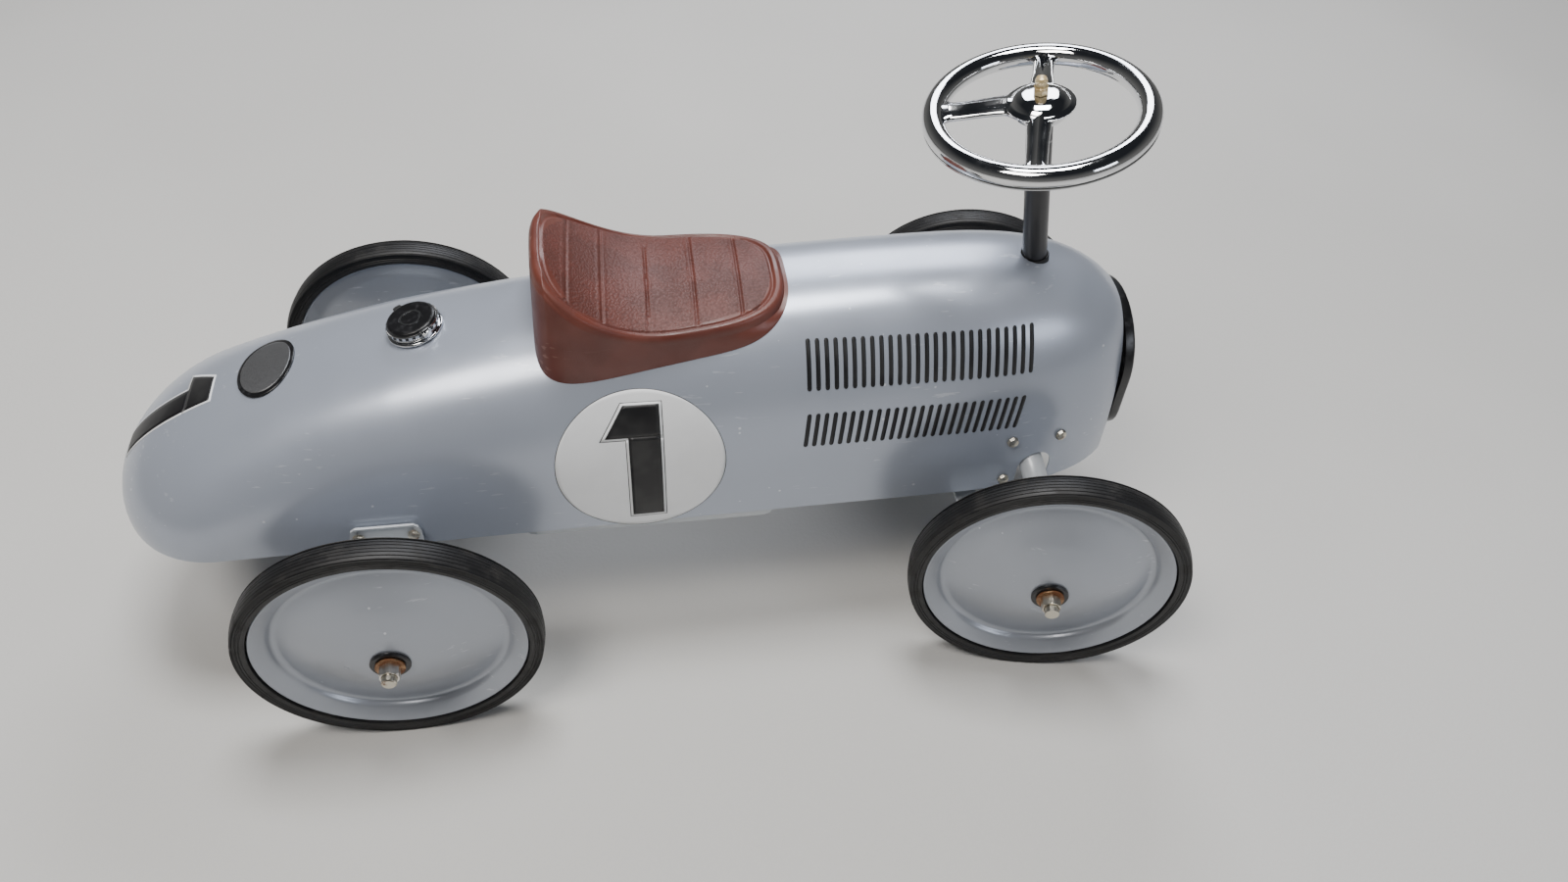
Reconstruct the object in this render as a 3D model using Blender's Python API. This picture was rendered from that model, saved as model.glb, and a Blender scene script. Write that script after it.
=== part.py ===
"""Ride-on metal racer for a small child: a pressed steel bullet body on four
rubber-tyred disc wheels, with a saddle and a raked steering column that turns
both front wheels through a tie rod.

Metres, +Z up, nose towards +X, the driver's left is +Y. The ground is z = 0 and
the origin is below the middle of the racer's outer box.
"""
from math import atan2, cos, pi, radians, sin, sqrt, tan

import bmesh
import bpy
from mathutils import Matrix, Vector

MM = 0.001

# ---------------------------------------------------------------- driving sizes
WHEEL_RADIUS = 100 * MM
TYRE_WIDTH = 18 * MM
TYRE_DEPTH = 10.3 * MM           # rubber between tread and rim
TYRE_SIDES = 28
TRACK = 314 * MM                 # outer tyre face to outer tyre face, wheels straight
WHEELBASE = 462 * MM             # rear axle to kingpins
REAR_OVERHANG = 186 * MM         # rear axle to tail
KINGPIN_SPACING = 232 * MM
AXLE_RADIUS = 5 * MM
AXLE_BEYOND_TYRE = 24.5 * MM     # end of each axle outside the tyre's outer face

BODY_HALF_WIDTH = 89 * MM
BODY_NARROWING = 6 * MM          # lost from each side between the tail and the nose
BODY_CLEARANCE = 27 * MM         # shell's lower edge above the axles
BODY_HEIGHT = 152 * MM           # lower edge to the highest line of the hood
FRONT_OVERHANG = 58 * MM         # kingpins to the flat nose face
NOSE_TAPER = 140 * MM            # length over which the hood rounds in to the nose
TAIL_TAPER = 74 * MM             # length over which the tail closes in plan
SHEET = 1.2 * MM
SECTION_POWER = 2.5              # squareness of the shell's cross-section
TAIL_POWER = 2.0                 # its roundness at the tail
TAIL_BLEND = 200 * MM            # length over which one changes to the other

COLUMN_RADIUS = 8.4 * MM
COLUMN_RAKE = radians(10)        # column leans back towards the rider
COLUMN_FROM_KINGPIN = 7.5 * MM   # hood hole behind the kingpins
WHEEL_ABOVE_HOOD = 109 * MM      # steering wheel's rim above the top of the hood
RIM_RADIUS = 66.5 * MM           # centre line of the steering wheel's rim
RIM_THICKNESS = 14.6 * MM
HUB_RISE = 5 * MM                # steering wheel's hub above the plane of its rim

STEER_LIMIT = radians(20)        # front wheels, each way from straight ahead
STEER_RATIO = 0.6                # front wheel angle over steering wheel angle
REST_STEER = radians(-11.5)      # the racer stands with its wheels turned right
ARM_LENGTH = 50 * MM             # kingpin to tie rod pin
PIN_RADIUS = 3 * MM

GAP = 0.3 * MM                   # between pieces that touch
RUNNING = 0.5 * MM               # around shafts that turn

PAN_REAR = 88 * MM               # belly pan's two ends, forward of the rear axle
PAN_FRONT = 268 * MM
PAN_DROP = 7 * MM                # belly pan below the shell's lower edge

SEAT_REAR = 112 * MM             # seat's back end, forward of the rear axle
SEAT_LENGTH = 165 * MM
SEAT_HALF_WIDTH = 58 * MM
SEAT_BACK_HEIGHT = 42 * MM       # raised back above the saddle's front edge
SEAT_CROWN = 8 * MM              # middle of the saddle above its edges

FILLER_FROM_AXLE = 32 * MM
FILLER_RADIUS = 17.5 * MM
FILLER_SPIGOT = 0.62             # neck's spigot over the cap's radius
BADGE_FROM_AXLE = -70 * MM
BADGE_HALF_LENGTH = 19 * MM
BADGE_HALF_WIDTH = 27 * MM

# ---------------------------------------------------------------- derived places
AXLE_Z = WHEEL_RADIUS
BODY_BOTTOM = AXLE_Z + BODY_CLEARANCE
TAIL_X = -REAR_OVERHANG
BODY_LENGTH = REAR_OVERHANG + WHEELBASE + FRONT_OVERHANG
NOSE_X = TAIL_X + BODY_LENGTH
KINGPIN_Y = KINGPIN_SPACING / 2
FACE_Y = TRACK / 2
FACE_FROM_KINGPIN = FACE_Y - KINGPIN_Y
COLUMN_X = WHEELBASE - COLUMN_FROM_KINGPIN
WHEEL_HEIGHT = BODY_BOTTOM + BODY_HEIGHT + WHEEL_ABOVE_HOOD
REST_WHEEL_TURN = REST_STEER / STEER_RATIO

# screws, each forward of the kingpin or the rear axle and above the shell's lower edge
FRONT_SCREWS = [(-27 * MM, 46 * MM), (11 * MM, 43 * MM), (-28 * MM, 9 * MM)]
REAR_SCREWS = [(-18 * MM, 14 * MM), (18 * MM, 14 * MM)]

GREY_PAINT = ("grey_paint", (0.42, 0.45, 0.48), 0.35, 0.6)
WHITE_PAINT = ("silver_paint", (0.75, 0.77, 0.80), 0.35, 0.5)
RUBBER = ("rubber", (0.02, 0.02, 0.02), 0.7, 0.0)
BLACK_PLASTIC = ("black_plastic", (0.02, 0.02, 0.022), 0.4, 0.0)
CHROME = ("chrome", (0.85, 0.85, 0.86), 0.08, 1.0)
STEEL = ("zinc_steel", (0.6, 0.58, 0.52), 0.35, 1.0)
BROWN_VINYL = ("brown_vinyl", (0.16, 0.05, 0.035), 0.5, 0.0)
BLACK_PAINT = ("black_paint", (0.03, 0.03, 0.033), 0.45, 0.0)
BRASS = ("cream_plastic", (0.75, 0.6, 0.38), 0.4, 0.0)
BADGE_METAL = ("badge_metal", (0.5, 0.5, 0.5), 0.4, 0.8)


# ---------------------------------------------------------------- scene helpers
def clear_scene():
    for old in list(bpy.data.objects):
        bpy.data.objects.remove(old, do_unlink=True)


def material(finish):
    name, colour, roughness, metallic = finish
    found = bpy.data.materials.get(name)
    if found:
        return found
    made = bpy.data.materials.new(name)
    made.use_nodes = True
    shader = made.node_tree.nodes["Principled BSDF"]
    shader.inputs["Base Color"].default_value = (*colour, 1)
    shader.inputs["Roughness"].default_value = roughness
    shader.inputs["Metallic"].default_value = metallic
    return made


def empty(name, location, rotation=(0, 0, 0), parent=None):
    made = bpy.data.objects.new(name, None)
    made.location = location
    made.rotation_euler = rotation
    made.parent = parent
    bpy.context.collection.objects.link(made)
    return made


def add(name, bm, finish, parent, smooth=True):
    bmesh.ops.recalc_face_normals(bm, faces=bm.faces)
    mesh = bpy.data.meshes.new(name)
    bm.to_mesh(mesh)
    bm.free()
    if smooth:
        mesh.shade_smooth()
        mesh.set_sharp_from_angle(angle=radians(35))
    made = bpy.data.objects.new(name, mesh)
    mesh.materials.append(material(finish))
    made.parent = parent
    bpy.context.collection.objects.link(made)
    return made


def cut(target, bm, name, operation="DIFFERENCE"):
    """Boolean target with a hidden guide solid made from bm."""
    bmesh.ops.recalc_face_normals(bm, faces=bm.faces)
    mesh = bpy.data.meshes.new(name)
    bm.to_mesh(mesh)
    bm.free()
    guide = bpy.data.objects.new(name, mesh)
    guide.hide_render = True
    guide.display_type = "WIRE"
    guide.parent = target.parent
    bpy.context.collection.objects.link(guide)
    step = target.modifiers.new(name, "BOOLEAN")
    step.object = guide
    step.operation = operation
    return guide


# ---------------------------------------------------------------- solid helpers
def turned(profile, segments=24, start=0.0):
    """Closed (radius, height) outline turned about Z; radius 0 closes on the axis."""
    bm = bmesh.new()
    rings = []
    for radius, height in profile:
        if radius < 1e-6:
            rings.append([bm.verts.new((0, 0, height))])
            continue
        ring = []
        for i in range(segments):
            angle = start + 2 * pi * i / segments
            ring.append(bm.verts.new((radius * cos(angle), radius * sin(angle), height)))
        rings.append(ring)
    for a, b in zip(rings, rings[1:] + rings[:1]):
        if len(a) == 1 and len(b) == 1:
            continue
        for i in range(segments):
            j = (i + 1) % segments
            corners = [a[i % len(a)], b[i % len(b)], b[j % len(b)], a[j % len(a)]]
            bm.faces.new(list(dict.fromkeys(corners)))
    return bm


def rod(radius, start, end, segments=16):
    """Cylinder between two points."""
    start, end = Vector(start), Vector(end)
    bm = bmesh.new()
    bmesh.ops.create_cone(bm, cap_ends=True, segments=segments, radius1=radius, radius2=radius,
                          depth=(end - start).length)
    turn = (end - start).to_track_quat("Z", "Y").to_matrix().to_4x4()
    bmesh.ops.transform(bm, matrix=Matrix.Translation((start + end) / 2) @ turn, verts=bm.verts)
    return bm


def slab(outline, low, high, axis="Z"):
    """Straight prism of a 2-D outline between two heights along an axis."""
    bm = bmesh.new()

    def place(p, h):
        return {"Z": (p[0], p[1], h), "X": (h, p[0], p[1]), "Y": (p[0], h, p[1])}[axis]

    bottom = bm.faces.new([bm.verts.new(place(p, low)) for p in outline])
    top = bmesh.ops.extrude_face_region(bm, geom=[bottom])
    raised = [v for v in top["geom"] if isinstance(v, bmesh.types.BMVert)]
    offset = Vector(place((0, 0), high)) - Vector(place((0, 0), low))
    bmesh.ops.translate(bm, verts=raised, vec=offset)
    return bm


def rounded(half_x, half_y, radius, centre=(0, 0), steps=3):
    """Rectangle outline with round corners."""
    points = []
    for sx, sy, first in ((1, 1, 0), (-1, 1, 90), (-1, -1, 180), (1, -1, 270)):
        for k in range(steps + 1):
            angle = radians(first + 90 * k / steps)
            points.append((centre[0] + sx * (half_x - radius) + radius * cos(angle),
                           centre[1] + sy * (half_y - radius) + radius * sin(angle)))
    return points


def tube(points, radius, segments=12):
    """Round bar along a path, with its ends closed."""
    bm = bmesh.new()
    points = [Vector(p) for p in points]
    rings = []
    side = None
    for i, point in enumerate(points):
        ahead = (points[min(i + 1, len(points) - 1)] - points[max(i - 1, 0)]).normalized()
        if side is None:
            side = ahead.orthogonal().normalized()
        side = (side - ahead * side.dot(ahead)).normalized()
        other = ahead.cross(side)
        rings.append([bm.verts.new(point + radius * (side * cos(2 * pi * k / segments)
                                                     + other * sin(2 * pi * k / segments)))
                      for k in range(segments)])
    for a, b in zip(rings, rings[1:]):
        for k in range(segments):
            j = (k + 1) % segments
            bm.faces.new((a[k], a[j], b[j], b[k]))
    bm.faces.new(rings[0])
    bm.faces.new(rings[-1])
    return bm


def bend(before, corner, after, radius, steps=3):
    """Round the corner between two straight runs of a path."""
    before, corner, after = Vector(before), Vector(corner), Vector(after)
    a, b = (before - corner).normalized(), (after - corner).normalized()
    half = a.angle(b) / 2
    reach = radius / tan(half)
    centre = corner + (a + b).normalized() * radius / sin(half)
    first, last = corner + a * reach - centre, corner + b * reach - centre
    sweep = first.angle(last)
    axis = first.cross(last).normalized()
    return [centre + Matrix.Rotation(sweep * k / steps, 3, axis) @ first for k in range(steps + 1)]


# ---------------------------------------------------------------- body surface
def nose_share(x):
    """1 along the body, falling as the hood rounds in to the nose face."""
    start = NOSE_X - NOSE_TAPER
    u = min(max((x - start) / (NOSE_TAPER * 8 / 7), 0), 1)
    return (1 - u ** 3) ** (1 / 2.4)


def half_width(x):
    inset = TAIL_X + TAIL_TAPER - x
    tail = sqrt(max(1 - (inset / TAIL_TAPER) ** 2.1, 0)) if inset > 0 else 1
    along = max(-inset, 0) / (BODY_LENGTH - TAIL_TAPER)
    return (BODY_HALF_WIDTH - BODY_NARROWING * along) * tail * nose_share(x)


def crown(x):
    """Height of the body's top line above its lower edge."""
    rise = min(max((x - TAIL_X) / (0.87 * BODY_LENGTH), 0), 1)
    return BODY_HEIGHT * (1 - (1 - rise) ** 2) ** (1 / 2.05) * (0.4 + 0.6 * nose_share(x))


def power(x):
    return TAIL_POWER + (SECTION_POWER - TAIL_POWER) * min(max((x - TAIL_X) / TAIL_BLEND, 0), 1)


def top_point(x, y):
    share = min(abs(y) / half_width(x), 1)
    return Vector((x, y, BODY_BOTTOM + crown(x) * (1 - share ** power(x)) ** (1 / power(x))))


def side_point(x, z, side):
    share = min(max((z - BODY_BOTTOM) / crown(x), 0), 1)
    return Vector((x, side * half_width(x) * (1 - share ** power(x)) ** (1 / power(x)), z))


def top_normal(x, y):
    step = 0.5 * MM
    along = top_point(x + step, y) - top_point(x - step, y)
    across = top_point(x, y + step) - top_point(x, y - step)
    return along.cross(across).normalized()


def side_normal(x, z, side):
    step = 0.5 * MM
    along = side_point(x + step, z, side) - side_point(x - step, z, side)
    up = side_point(x, z + step, side) - side_point(x, z - step, side)
    return along.cross(up).normalized() * -side


def body_stations():
    """Section places: close together where the tail and the nose round in."""
    tail = [TAIL_X + TAIL_TAPER * (1 - cos(radians(a))) for a in (4, 14, 26, 40, 55, 72)]
    start, end = TAIL_X + 1.15 * TAIL_TAPER, NOSE_X - NOSE_TAPER
    middle = [start + (end - start) * k / 6 for k in range(7)]
    nose = [NOSE_X - NOSE_TAPER * (1 - s) for s in (0.25, 0.45, 0.62, 0.76, 0.88, 1)]
    return tail + middle + nose


def body_sheet(offset=0.0, closed=False, points=18):
    """The shell's outer skin as one sheet, grown outwards by offset."""
    bm = bmesh.new()
    rings = []
    for x in body_stations():
        wide, high = half_width(x) + offset, crown(x) + offset
        ring = []
        for k in range(points + 1):
            angle = pi * k / points
            y = -wide * abs(cos(angle)) ** (2 / power(x)) * (1 if cos(angle) > 0 else -1)
            z = BODY_BOTTOM + high * sin(angle) ** (2 / power(x))
            ring.append(bm.verts.new((x, y, z)))
        rings.append(ring)
    tip = bm.verts.new((TAIL_X - offset, 0, BODY_BOTTOM))
    for a, b in zip(rings, rings[1:]):
        for k in range(points):
            bm.faces.new((a[k], a[k + 1], b[k + 1], b[k]))
    for k in range(points):
        bm.faces.new((tip, rings[0][k + 1], rings[0][k]))
    bm.faces.new(rings[-1])
    if closed:
        edge = [ring[0] for ring in rings] + [ring[-1] for ring in reversed(rings)] + [tip]
        bm.faces.new(edge)
    bmesh.ops.recalc_face_normals(bm, faces=bm.faces)
    return bm


def surface_patch(inside, thickness, lift, spans, place, normal, steps):
    """Plate that follows the body: a grid over spans, kept where inside() is true."""
    bm = bmesh.new()
    (u0, u1), (v0, v1) = spans
    grid = {}
    for i in range(steps[0] + 1):
        for j in range(steps[1] + 1):
            u, v = inside(i / steps[0] * 2 - 1, j / steps[1] * 2 - 1)
            u, v = (u0 + u1) / 2 + u * (u1 - u0) / 2, (v0 + v1) / 2 + v * (v1 - v0) / 2
            base, out = place(u, v), normal(u, v)
            grid[i, j] = [bm.verts.new(base + out * (lift + t)) for t in (0, thickness)]
    for i in range(steps[0]):
        for j in range(steps[1]):
            square = [grid[i, j], grid[i + 1, j], grid[i + 1, j + 1], grid[i, j + 1]]
            bm.faces.new([s[0] for s in square])
            bm.faces.new([s[1] for s in square])
    last_i, last_j = steps
    rim = [grid[i, 0] for i in range(last_i)] + [grid[last_i, j] for j in range(last_j)]
    rim += [grid[i, last_j] for i in range(last_i, 0, -1)] + [grid[0, j] for j in range(last_j, 0, -1)]
    for a, b in zip(rim, rim[1:] + rim[:1]):
        bm.faces.new((a[0], b[0], b[1], a[1]))
    return bm


def square_grid(u, v):
    return u, v


def disc_grid(u, v):
    """Square parameters squeezed into a unit disc."""
    return u * sqrt(1 - v * v / 2), v * sqrt(1 - u * u / 2)


# ---------------------------------------------------------------- shared places
NOSE_FRAME_TOP = BODY_BOTTOM + 112 * MM
NOSE_FRAME_LOW = BODY_BOTTOM + 10 * MM
NOSE_FRAME_HALF = 48 * MM
FRAME_BAND = 8 * MM
NOSE_OPENING_INSET = 12 * MM
GRILLE_THICKNESS = 2 * MM
FRAME_DEPTH = 7.5 * MM

ARM_THICKNESS = 3 * MM
ARM_LOW = AXLE_Z + AXLE_RADIUS + 2 * GAP
TIE_LOW = ARM_LOW + ARM_THICKNESS + 2 * GAP
TIE_THICKNESS = 3 * MM
SLEEVE_LOW = ARM_LOW + ARM_THICKNESS + 2 * GAP
SLEEVE_HIGH = SLEEVE_LOW + 22.8 * MM
TUBE_RADIUS = 9 * MM             # bent front axle tube
TUBE_Z = BODY_BOTTOM + 21 * MM
BRACKET_WEB_Z = TUBE_Z + TUBE_RADIUS + GAP
BRACKET_SHEET = 2.5 * MM
BRACKET_X = (WHEELBASE - 38 * MM, WHEELBASE + 36 * MM)
AXLE_BOLT_Y = 42 * MM
CRANK_LENGTH = ARM_LENGTH * STEER_RATIO
SCREW_HOLE = 2.5 * MM
SCREW_SHANK = 2 * MM

COLUMN_UP = Vector((-sin(COLUMN_RAKE), 0, cos(COLUMN_RAKE)))


def column_point(z):
    hood = top_point(COLUMN_X, 0)
    return hood + COLUMN_UP * ((z - hood.z) / COLUMN_UP.z)


def front_screws(side):
    """Places on the hood's flank where the inner bracket is screwed on."""
    return [(WHEELBASE + forward, BODY_BOTTOM + up, side) for forward, up in FRONT_SCREWS]


def rear_screws(side):
    return [(forward, BODY_BOTTOM + up, side) for forward, up in REAR_SCREWS]


def arch(inset):
    """Nose frame outline: a round-topped shield, drawn in Y and Z."""
    half, low = NOSE_FRAME_HALF - inset, NOSE_FRAME_LOW + inset
    centre = NOSE_FRAME_TOP - NOSE_FRAME_HALF
    points = [(half * cos(radians(a)), centre + half * sin(radians(a))) for a in range(0, 181, 18)]
    corner = max(22 * MM - inset, 6 * MM)
    for first, sign in ((180, -1), (270, 1)):
        for k in range(4):
            angle = radians(first + 30 * k)
            points.append((sign * (half - corner) + corner * cos(angle), low + corner + corner * sin(angle)))
    return points


def facing(place, out):
    """Frame with its Z along a surface's normal."""
    return Matrix.Translation(place) @ out.to_track_quat("Z", "Y").to_matrix().to_4x4()


# ---------------------------------------------------------------- body and trim
def body_shell(root):
    shell = add("body_shell", body_sheet(), GREY_PAINT, root)
    wall = shell.modifiers.new("sheet", "SOLIDIFY")
    wall.thickness = SHEET
    wall.offset = -1
    wall.use_even_offset = True
    cut(shell, slab(arch(NOSE_OPENING_INSET), NOSE_X - 20 * MM, NOSE_X + 10 * MM, "X"), "nose_opening")
    low, high = column_point(BODY_BOTTOM + crown(COLUMN_X) * 0.8), column_point(WHEEL_HEIGHT)
    cut(shell, rod(COLUMN_RADIUS + 2 * MM, low, high), "column_hole")
    neck = facing(top_point(FILLER_FROM_AXLE, 0), top_normal(FILLER_FROM_AXLE, 0))
    cut(shell, rod(FILLER_RADIUS * FILLER_SPIGOT + GAP, neck @ Vector((0, 0, -8 * MM)), neck @ Vector((0, 0, 8 * MM))),
        "filler_hole")
    notch, notch_x = TUBE_RADIUS + 4 * MM, COLUMN_X + 2 * MM
    for side in (-1, 1):
        outline = [(notch_x + notch * cos(radians(a)), TUBE_Z - 4 * MM + notch * sin(radians(a)))
                   for a in range(0, 181, 15)]
        outline += [(notch_x - notch, BODY_BOTTOM - 5 * MM), (notch_x + notch, BODY_BOTTOM - 5 * MM)]
        reach = sorted((side * 60 * MM, side * 110 * MM))
        cut(shell, slab(outline, reach[0], reach[1], "Y"), f"axle_notch_{side}")
        for index, (x, z, _) in enumerate(front_screws(side) + rear_screws(side)):
            place, out = side_point(x, z, side), side_normal(x, z, side)
            cut(shell, rod(SCREW_HOLE, place - out * 6 * MM, place + out * 6 * MM, 8),
                f"screw_hole_{index}_{side}")
    for x in seat_bolt_places():
        top = top_point(x, 0)
        cut(shell, rod(3.4 * MM, top - Vector((0, 0, 6 * MM)), top + Vector((0, 0, 6 * MM)), 16), "seat_hole")
    return shell


def floor_pan(root):
    """Shallow pressed tray that closes the belly between the axles."""
    half_x, centre_x = (PAN_FRONT - PAN_REAR) / 2, (PAN_FRONT + PAN_REAR) / 2
    half_y = half_width(PAN_FRONT) - SHEET - GAP
    depth, sheet = 2 * PAN_DROP, 1.5 * MM
    bottom = BODY_BOTTOM - PAN_DROP
    pan = add("floor_pan", slab(rounded(half_x, half_y, 10 * MM, (centre_x, 0)), bottom, bottom + depth),
              WHITE_PAINT, root, smooth=False)
    cut(pan, slab(rounded(half_x - sheet, half_y - sheet, 8.5 * MM, (centre_x, 0)), bottom + sheet,
                  bottom + depth + sheet), "pan_hollow")
    return pan


def nose_trim(root):
    start = NOSE_X + GAP
    grid = slab(arch(4 * MM), start, start + GRILLE_THICKNESS, "X")
    grille = add("nose_grille", grid, BLACK_PLASTIC, root)
    bar, pitch = 2.5 * MM, 9 * MM
    for k in range(-3, 4):
        reach = 24 * MM if abs(k) == 3 else 33 * MM
        middle = (NOSE_FRAME_TOP + NOSE_FRAME_LOW) / 2
        cut(grille, slab(rounded(bar, reach, bar, (k * pitch, middle)), start - MM,
                         start + GRILLE_THICKNESS + MM, "X"), f"grille_slot_{k}")
    front = start + GRILLE_THICKNESS + GAP
    frame = add("nose_frame", slab(arch(0), front, front + FRAME_DEPTH, "X"), BLACK_PLASTIC, root)
    cut(frame, slab(arch(FRAME_BAND), front - MM, front + FRAME_DEPTH + MM, "X"), "frame_opening")


def filler(root):
    seat = facing(top_point(FILLER_FROM_AXLE, 0), top_normal(FILLER_FROM_AXLE, 0))
    r = FILLER_RADIUS
    flange_top, spigot = 3.8 * MM, r * FILLER_SPIGOT
    neck_profile = [(spigot - 2 * MM, -7 * MM), (spigot, -7 * MM), (spigot, GAP), (r + 1.3 * MM, GAP),
                    (r + 1.3 * MM, 2 * MM), (r - MM, flange_top), (spigot - 2 * MM, flange_top)]
    neck = add("filler_neck", turned(neck_profile, 20), CHROME, root)
    neck.matrix_basis = seat
    low = flange_top + GAP
    stem = spigot - 2 * MM - GAP
    cap_profile = [(0, low - 4 * MM), (stem, low - 4 * MM), (stem, low), (r - 0.7 * MM, low),
                   (r - 0.7 * MM, low + 4.2 * MM), (r - 3 * MM, low + 6.1 * MM), (r - 5 * MM, low + 5.8 * MM),
                   (0, low + 5.5 * MM)]
    cap = add("filler_cap", turned(cap_profile, 20), BLACK_PLASTIC, root)
    cap.matrix_basis = seat
    for turn in (0, pi):
        inner, outer = r - 3 * MM, r + 3 * MM
        lug = slab([(inner, -3.8 * MM), (outer, -2.9 * MM), (outer, 2.9 * MM), (inner, 3.8 * MM)],
                   low + 0.5 * MM, low + 4 * MM)
        heading = Matrix.Rotation(turn + radians(35), 3, "Z")
        bmesh.ops.rotate(lug, verts=lug.verts, cent=(0, 0, 0), matrix=heading)
        cut(cap, lug, f"cap_lug_{turn:.0f}", "UNION").matrix_basis = seat


def tail_badge(root):
    spans = ((BADGE_FROM_AXLE - BADGE_HALF_LENGTH, BADGE_FROM_AXLE + BADGE_HALF_LENGTH),
             (-BADGE_HALF_WIDTH, BADGE_HALF_WIDTH))
    plate = surface_patch(disc_grid, 1.2 * MM, GAP, spans, top_point, top_normal, (6, 6))
    add("tail_badge", plate, BADGE_METAL, root)


# ---------------------------------------------------------------- saddle
def seat_bolt_places():
    return SEAT_REAR + 0.3 * SEAT_LENGTH, SEAT_REAR + 0.7 * SEAT_LENGTH


def seat_edge(t):
    """Height of the saddle's side edge over the body's top line, t from 0 at the back to 1."""
    slope = min(max((t - 0.05) / 0.5, 0), 1)
    return SEAT_BACK_HEIGHT * (1 - slope) ** 2 + 2 * MM - 6 * MM * t * t


def seat_half(t):
    rear = sqrt(1 - (1 - min(t / 0.13, 1)) ** 2)
    front = (1 - max((t - 0.72) / 0.28, 0) ** 2.2) ** 0.5 if t < 1 else 0
    return (SEAT_HALF_WIDTH - 9 * MM * t) * (0.72 + 0.28 * rear) * max(front, 0.3)


def saddle(root):
    bm = bmesh.new()
    rings = []
    for t in (0, 0.03, 0.08, 0.15, 0.24, 0.34, 0.46, 0.6, 0.74, 0.85, 0.93, 0.985):
        x, half = SEAT_REAR + SEAT_LENGTH * t, seat_half(t)
        skin = top_point(x, half).z
        edge = max(BODY_BOTTOM + crown(x) + seat_edge(t), skin + 4 * MM)
        if t == 0:
            edge -= 6 * MM
        low = skin - 1.5 * MM
        drop = min(4 * MM, (edge - low) * 0.4)
        near = [(half, low), (half + MM, (low + edge) / 2), (half - drop, edge - drop), (half * 0.8, edge),
                (half * 0.4, edge + SEAT_CROWN * half / SEAT_HALF_WIDTH)]
        across = [(-y, z) for y, z in near] + near[::-1]
        rings.append([bm.verts.new((x, y, z)) for y, z in across])
    for a, b in zip(rings, rings[1:]):
        for k in range(len(a)):
            j = (k + 1) % len(a)
            bm.faces.new((a[k], a[j], b[j], b[k]))
    bm.faces.new(rings[0])
    bm.faces.new(rings[-1])
    pad = add("saddle", bm, BROWN_VINYL, root)
    cut(pad, body_sheet(offset=GAP, closed=True), "body_under_saddle")
    for x in seat_bolt_places():
        top = top_point(x, 0)
        cut(pad, rod(3.4 * MM, top - Vector((0, 0, MM)), top + Vector((0, 0, 6.5 * MM)), 16), "bolt_socket")
        head = [(0, -4.5 * MM), (5.5 * MM, -4.5 * MM), (5.5 * MM, -GAP), (3 * MM, -GAP), (3 * MM, 6 * MM),
                (0, 6 * MM)]
        bolt = add(f"saddle_bolt_{'rear' if x < SEAT_REAR + SEAT_LENGTH / 2 else 'front'}", turned(head, 6),
                   STEEL, root, smooth=False)
        bolt.location = top - Vector((0, 0, SHEET + 1.5 * MM))
    return pad


# ---------------------------------------------------------------- running gear
def wheel_pieces(name, carrier, face_y, hub_inner):
    """Tyre, two pressed discs and a bush, turned about the carrier's local axle."""
    lie_down = Matrix.Rotation(-pi / 2, 4, "X")
    wide, r = TYRE_WIDTH, WHEEL_RADIUS
    facet = r / cos(pi / TYRE_SIDES)
    rim = r - TYRE_DEPTH
    middle = face_y - wide / 2
    shoulders = [(rim, -wide / 2), (r * 0.955, -wide / 2), (facet, -wide * 0.25), (facet, wide * 0.25),
                 (r * 0.955, wide / 2), (rim, wide / 2)]
    tyre = turned([(a, b + middle) for a, b in shoulders], TYRE_SIDES, pi / TYRE_SIDES)
    pieces = [add(f"{name}_tyre", tyre, RUBBER, carrier)]
    edge, hole, wall = rim * cos(pi / TYRE_SIDES) - GAP, 11.5 * MM, SHEET
    dish = [(edge, middle + GAP / 2), (edge, face_y - 2.5 * MM), (edge - 11 * MM, face_y - 6 * MM),
            (edge - 12.5 * MM, face_y - 8 * MM), (hole, face_y + 8 * MM)]
    back = face_y - wide
    inner_dish = [(edge, middle - GAP / 2), (edge, back + 2 * MM), (edge - 11 * MM, back + 5 * MM),
                  (hole, back - 5 * MM)]
    for label, line, sign in (("outer", dish, -1), ("inner", inner_dish, 1)):
        inside = [(max(a - wall, hole) if i < 2 else a, b + (sign * wall if i >= 1 else 0))
                  for i, (a, b) in enumerate(line)]
        profile = line + inside[::-1]
        pieces.append(add(f"{name}_{label}_disc", turned(profile, TYRE_SIDES), GREY_PAINT, carrier))
    bore, bush = AXLE_RADIUS + RUNNING, hole - GAP
    flange = bush + 3 * MM
    out = face_y + 8 * MM + GAP
    bush_profile = [(bore, hub_inner), (bush, hub_inner), (bush, out), (flange, out), (flange, out + 2 * MM),
                    (bore, out + 2 * MM)]
    pieces.append(add(f"{name}_bush", turned(bush_profile, 16), BLACK_PLASTIC, carrier))
    for piece in pieces:
        piece.matrix_basis = lie_down


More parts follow.
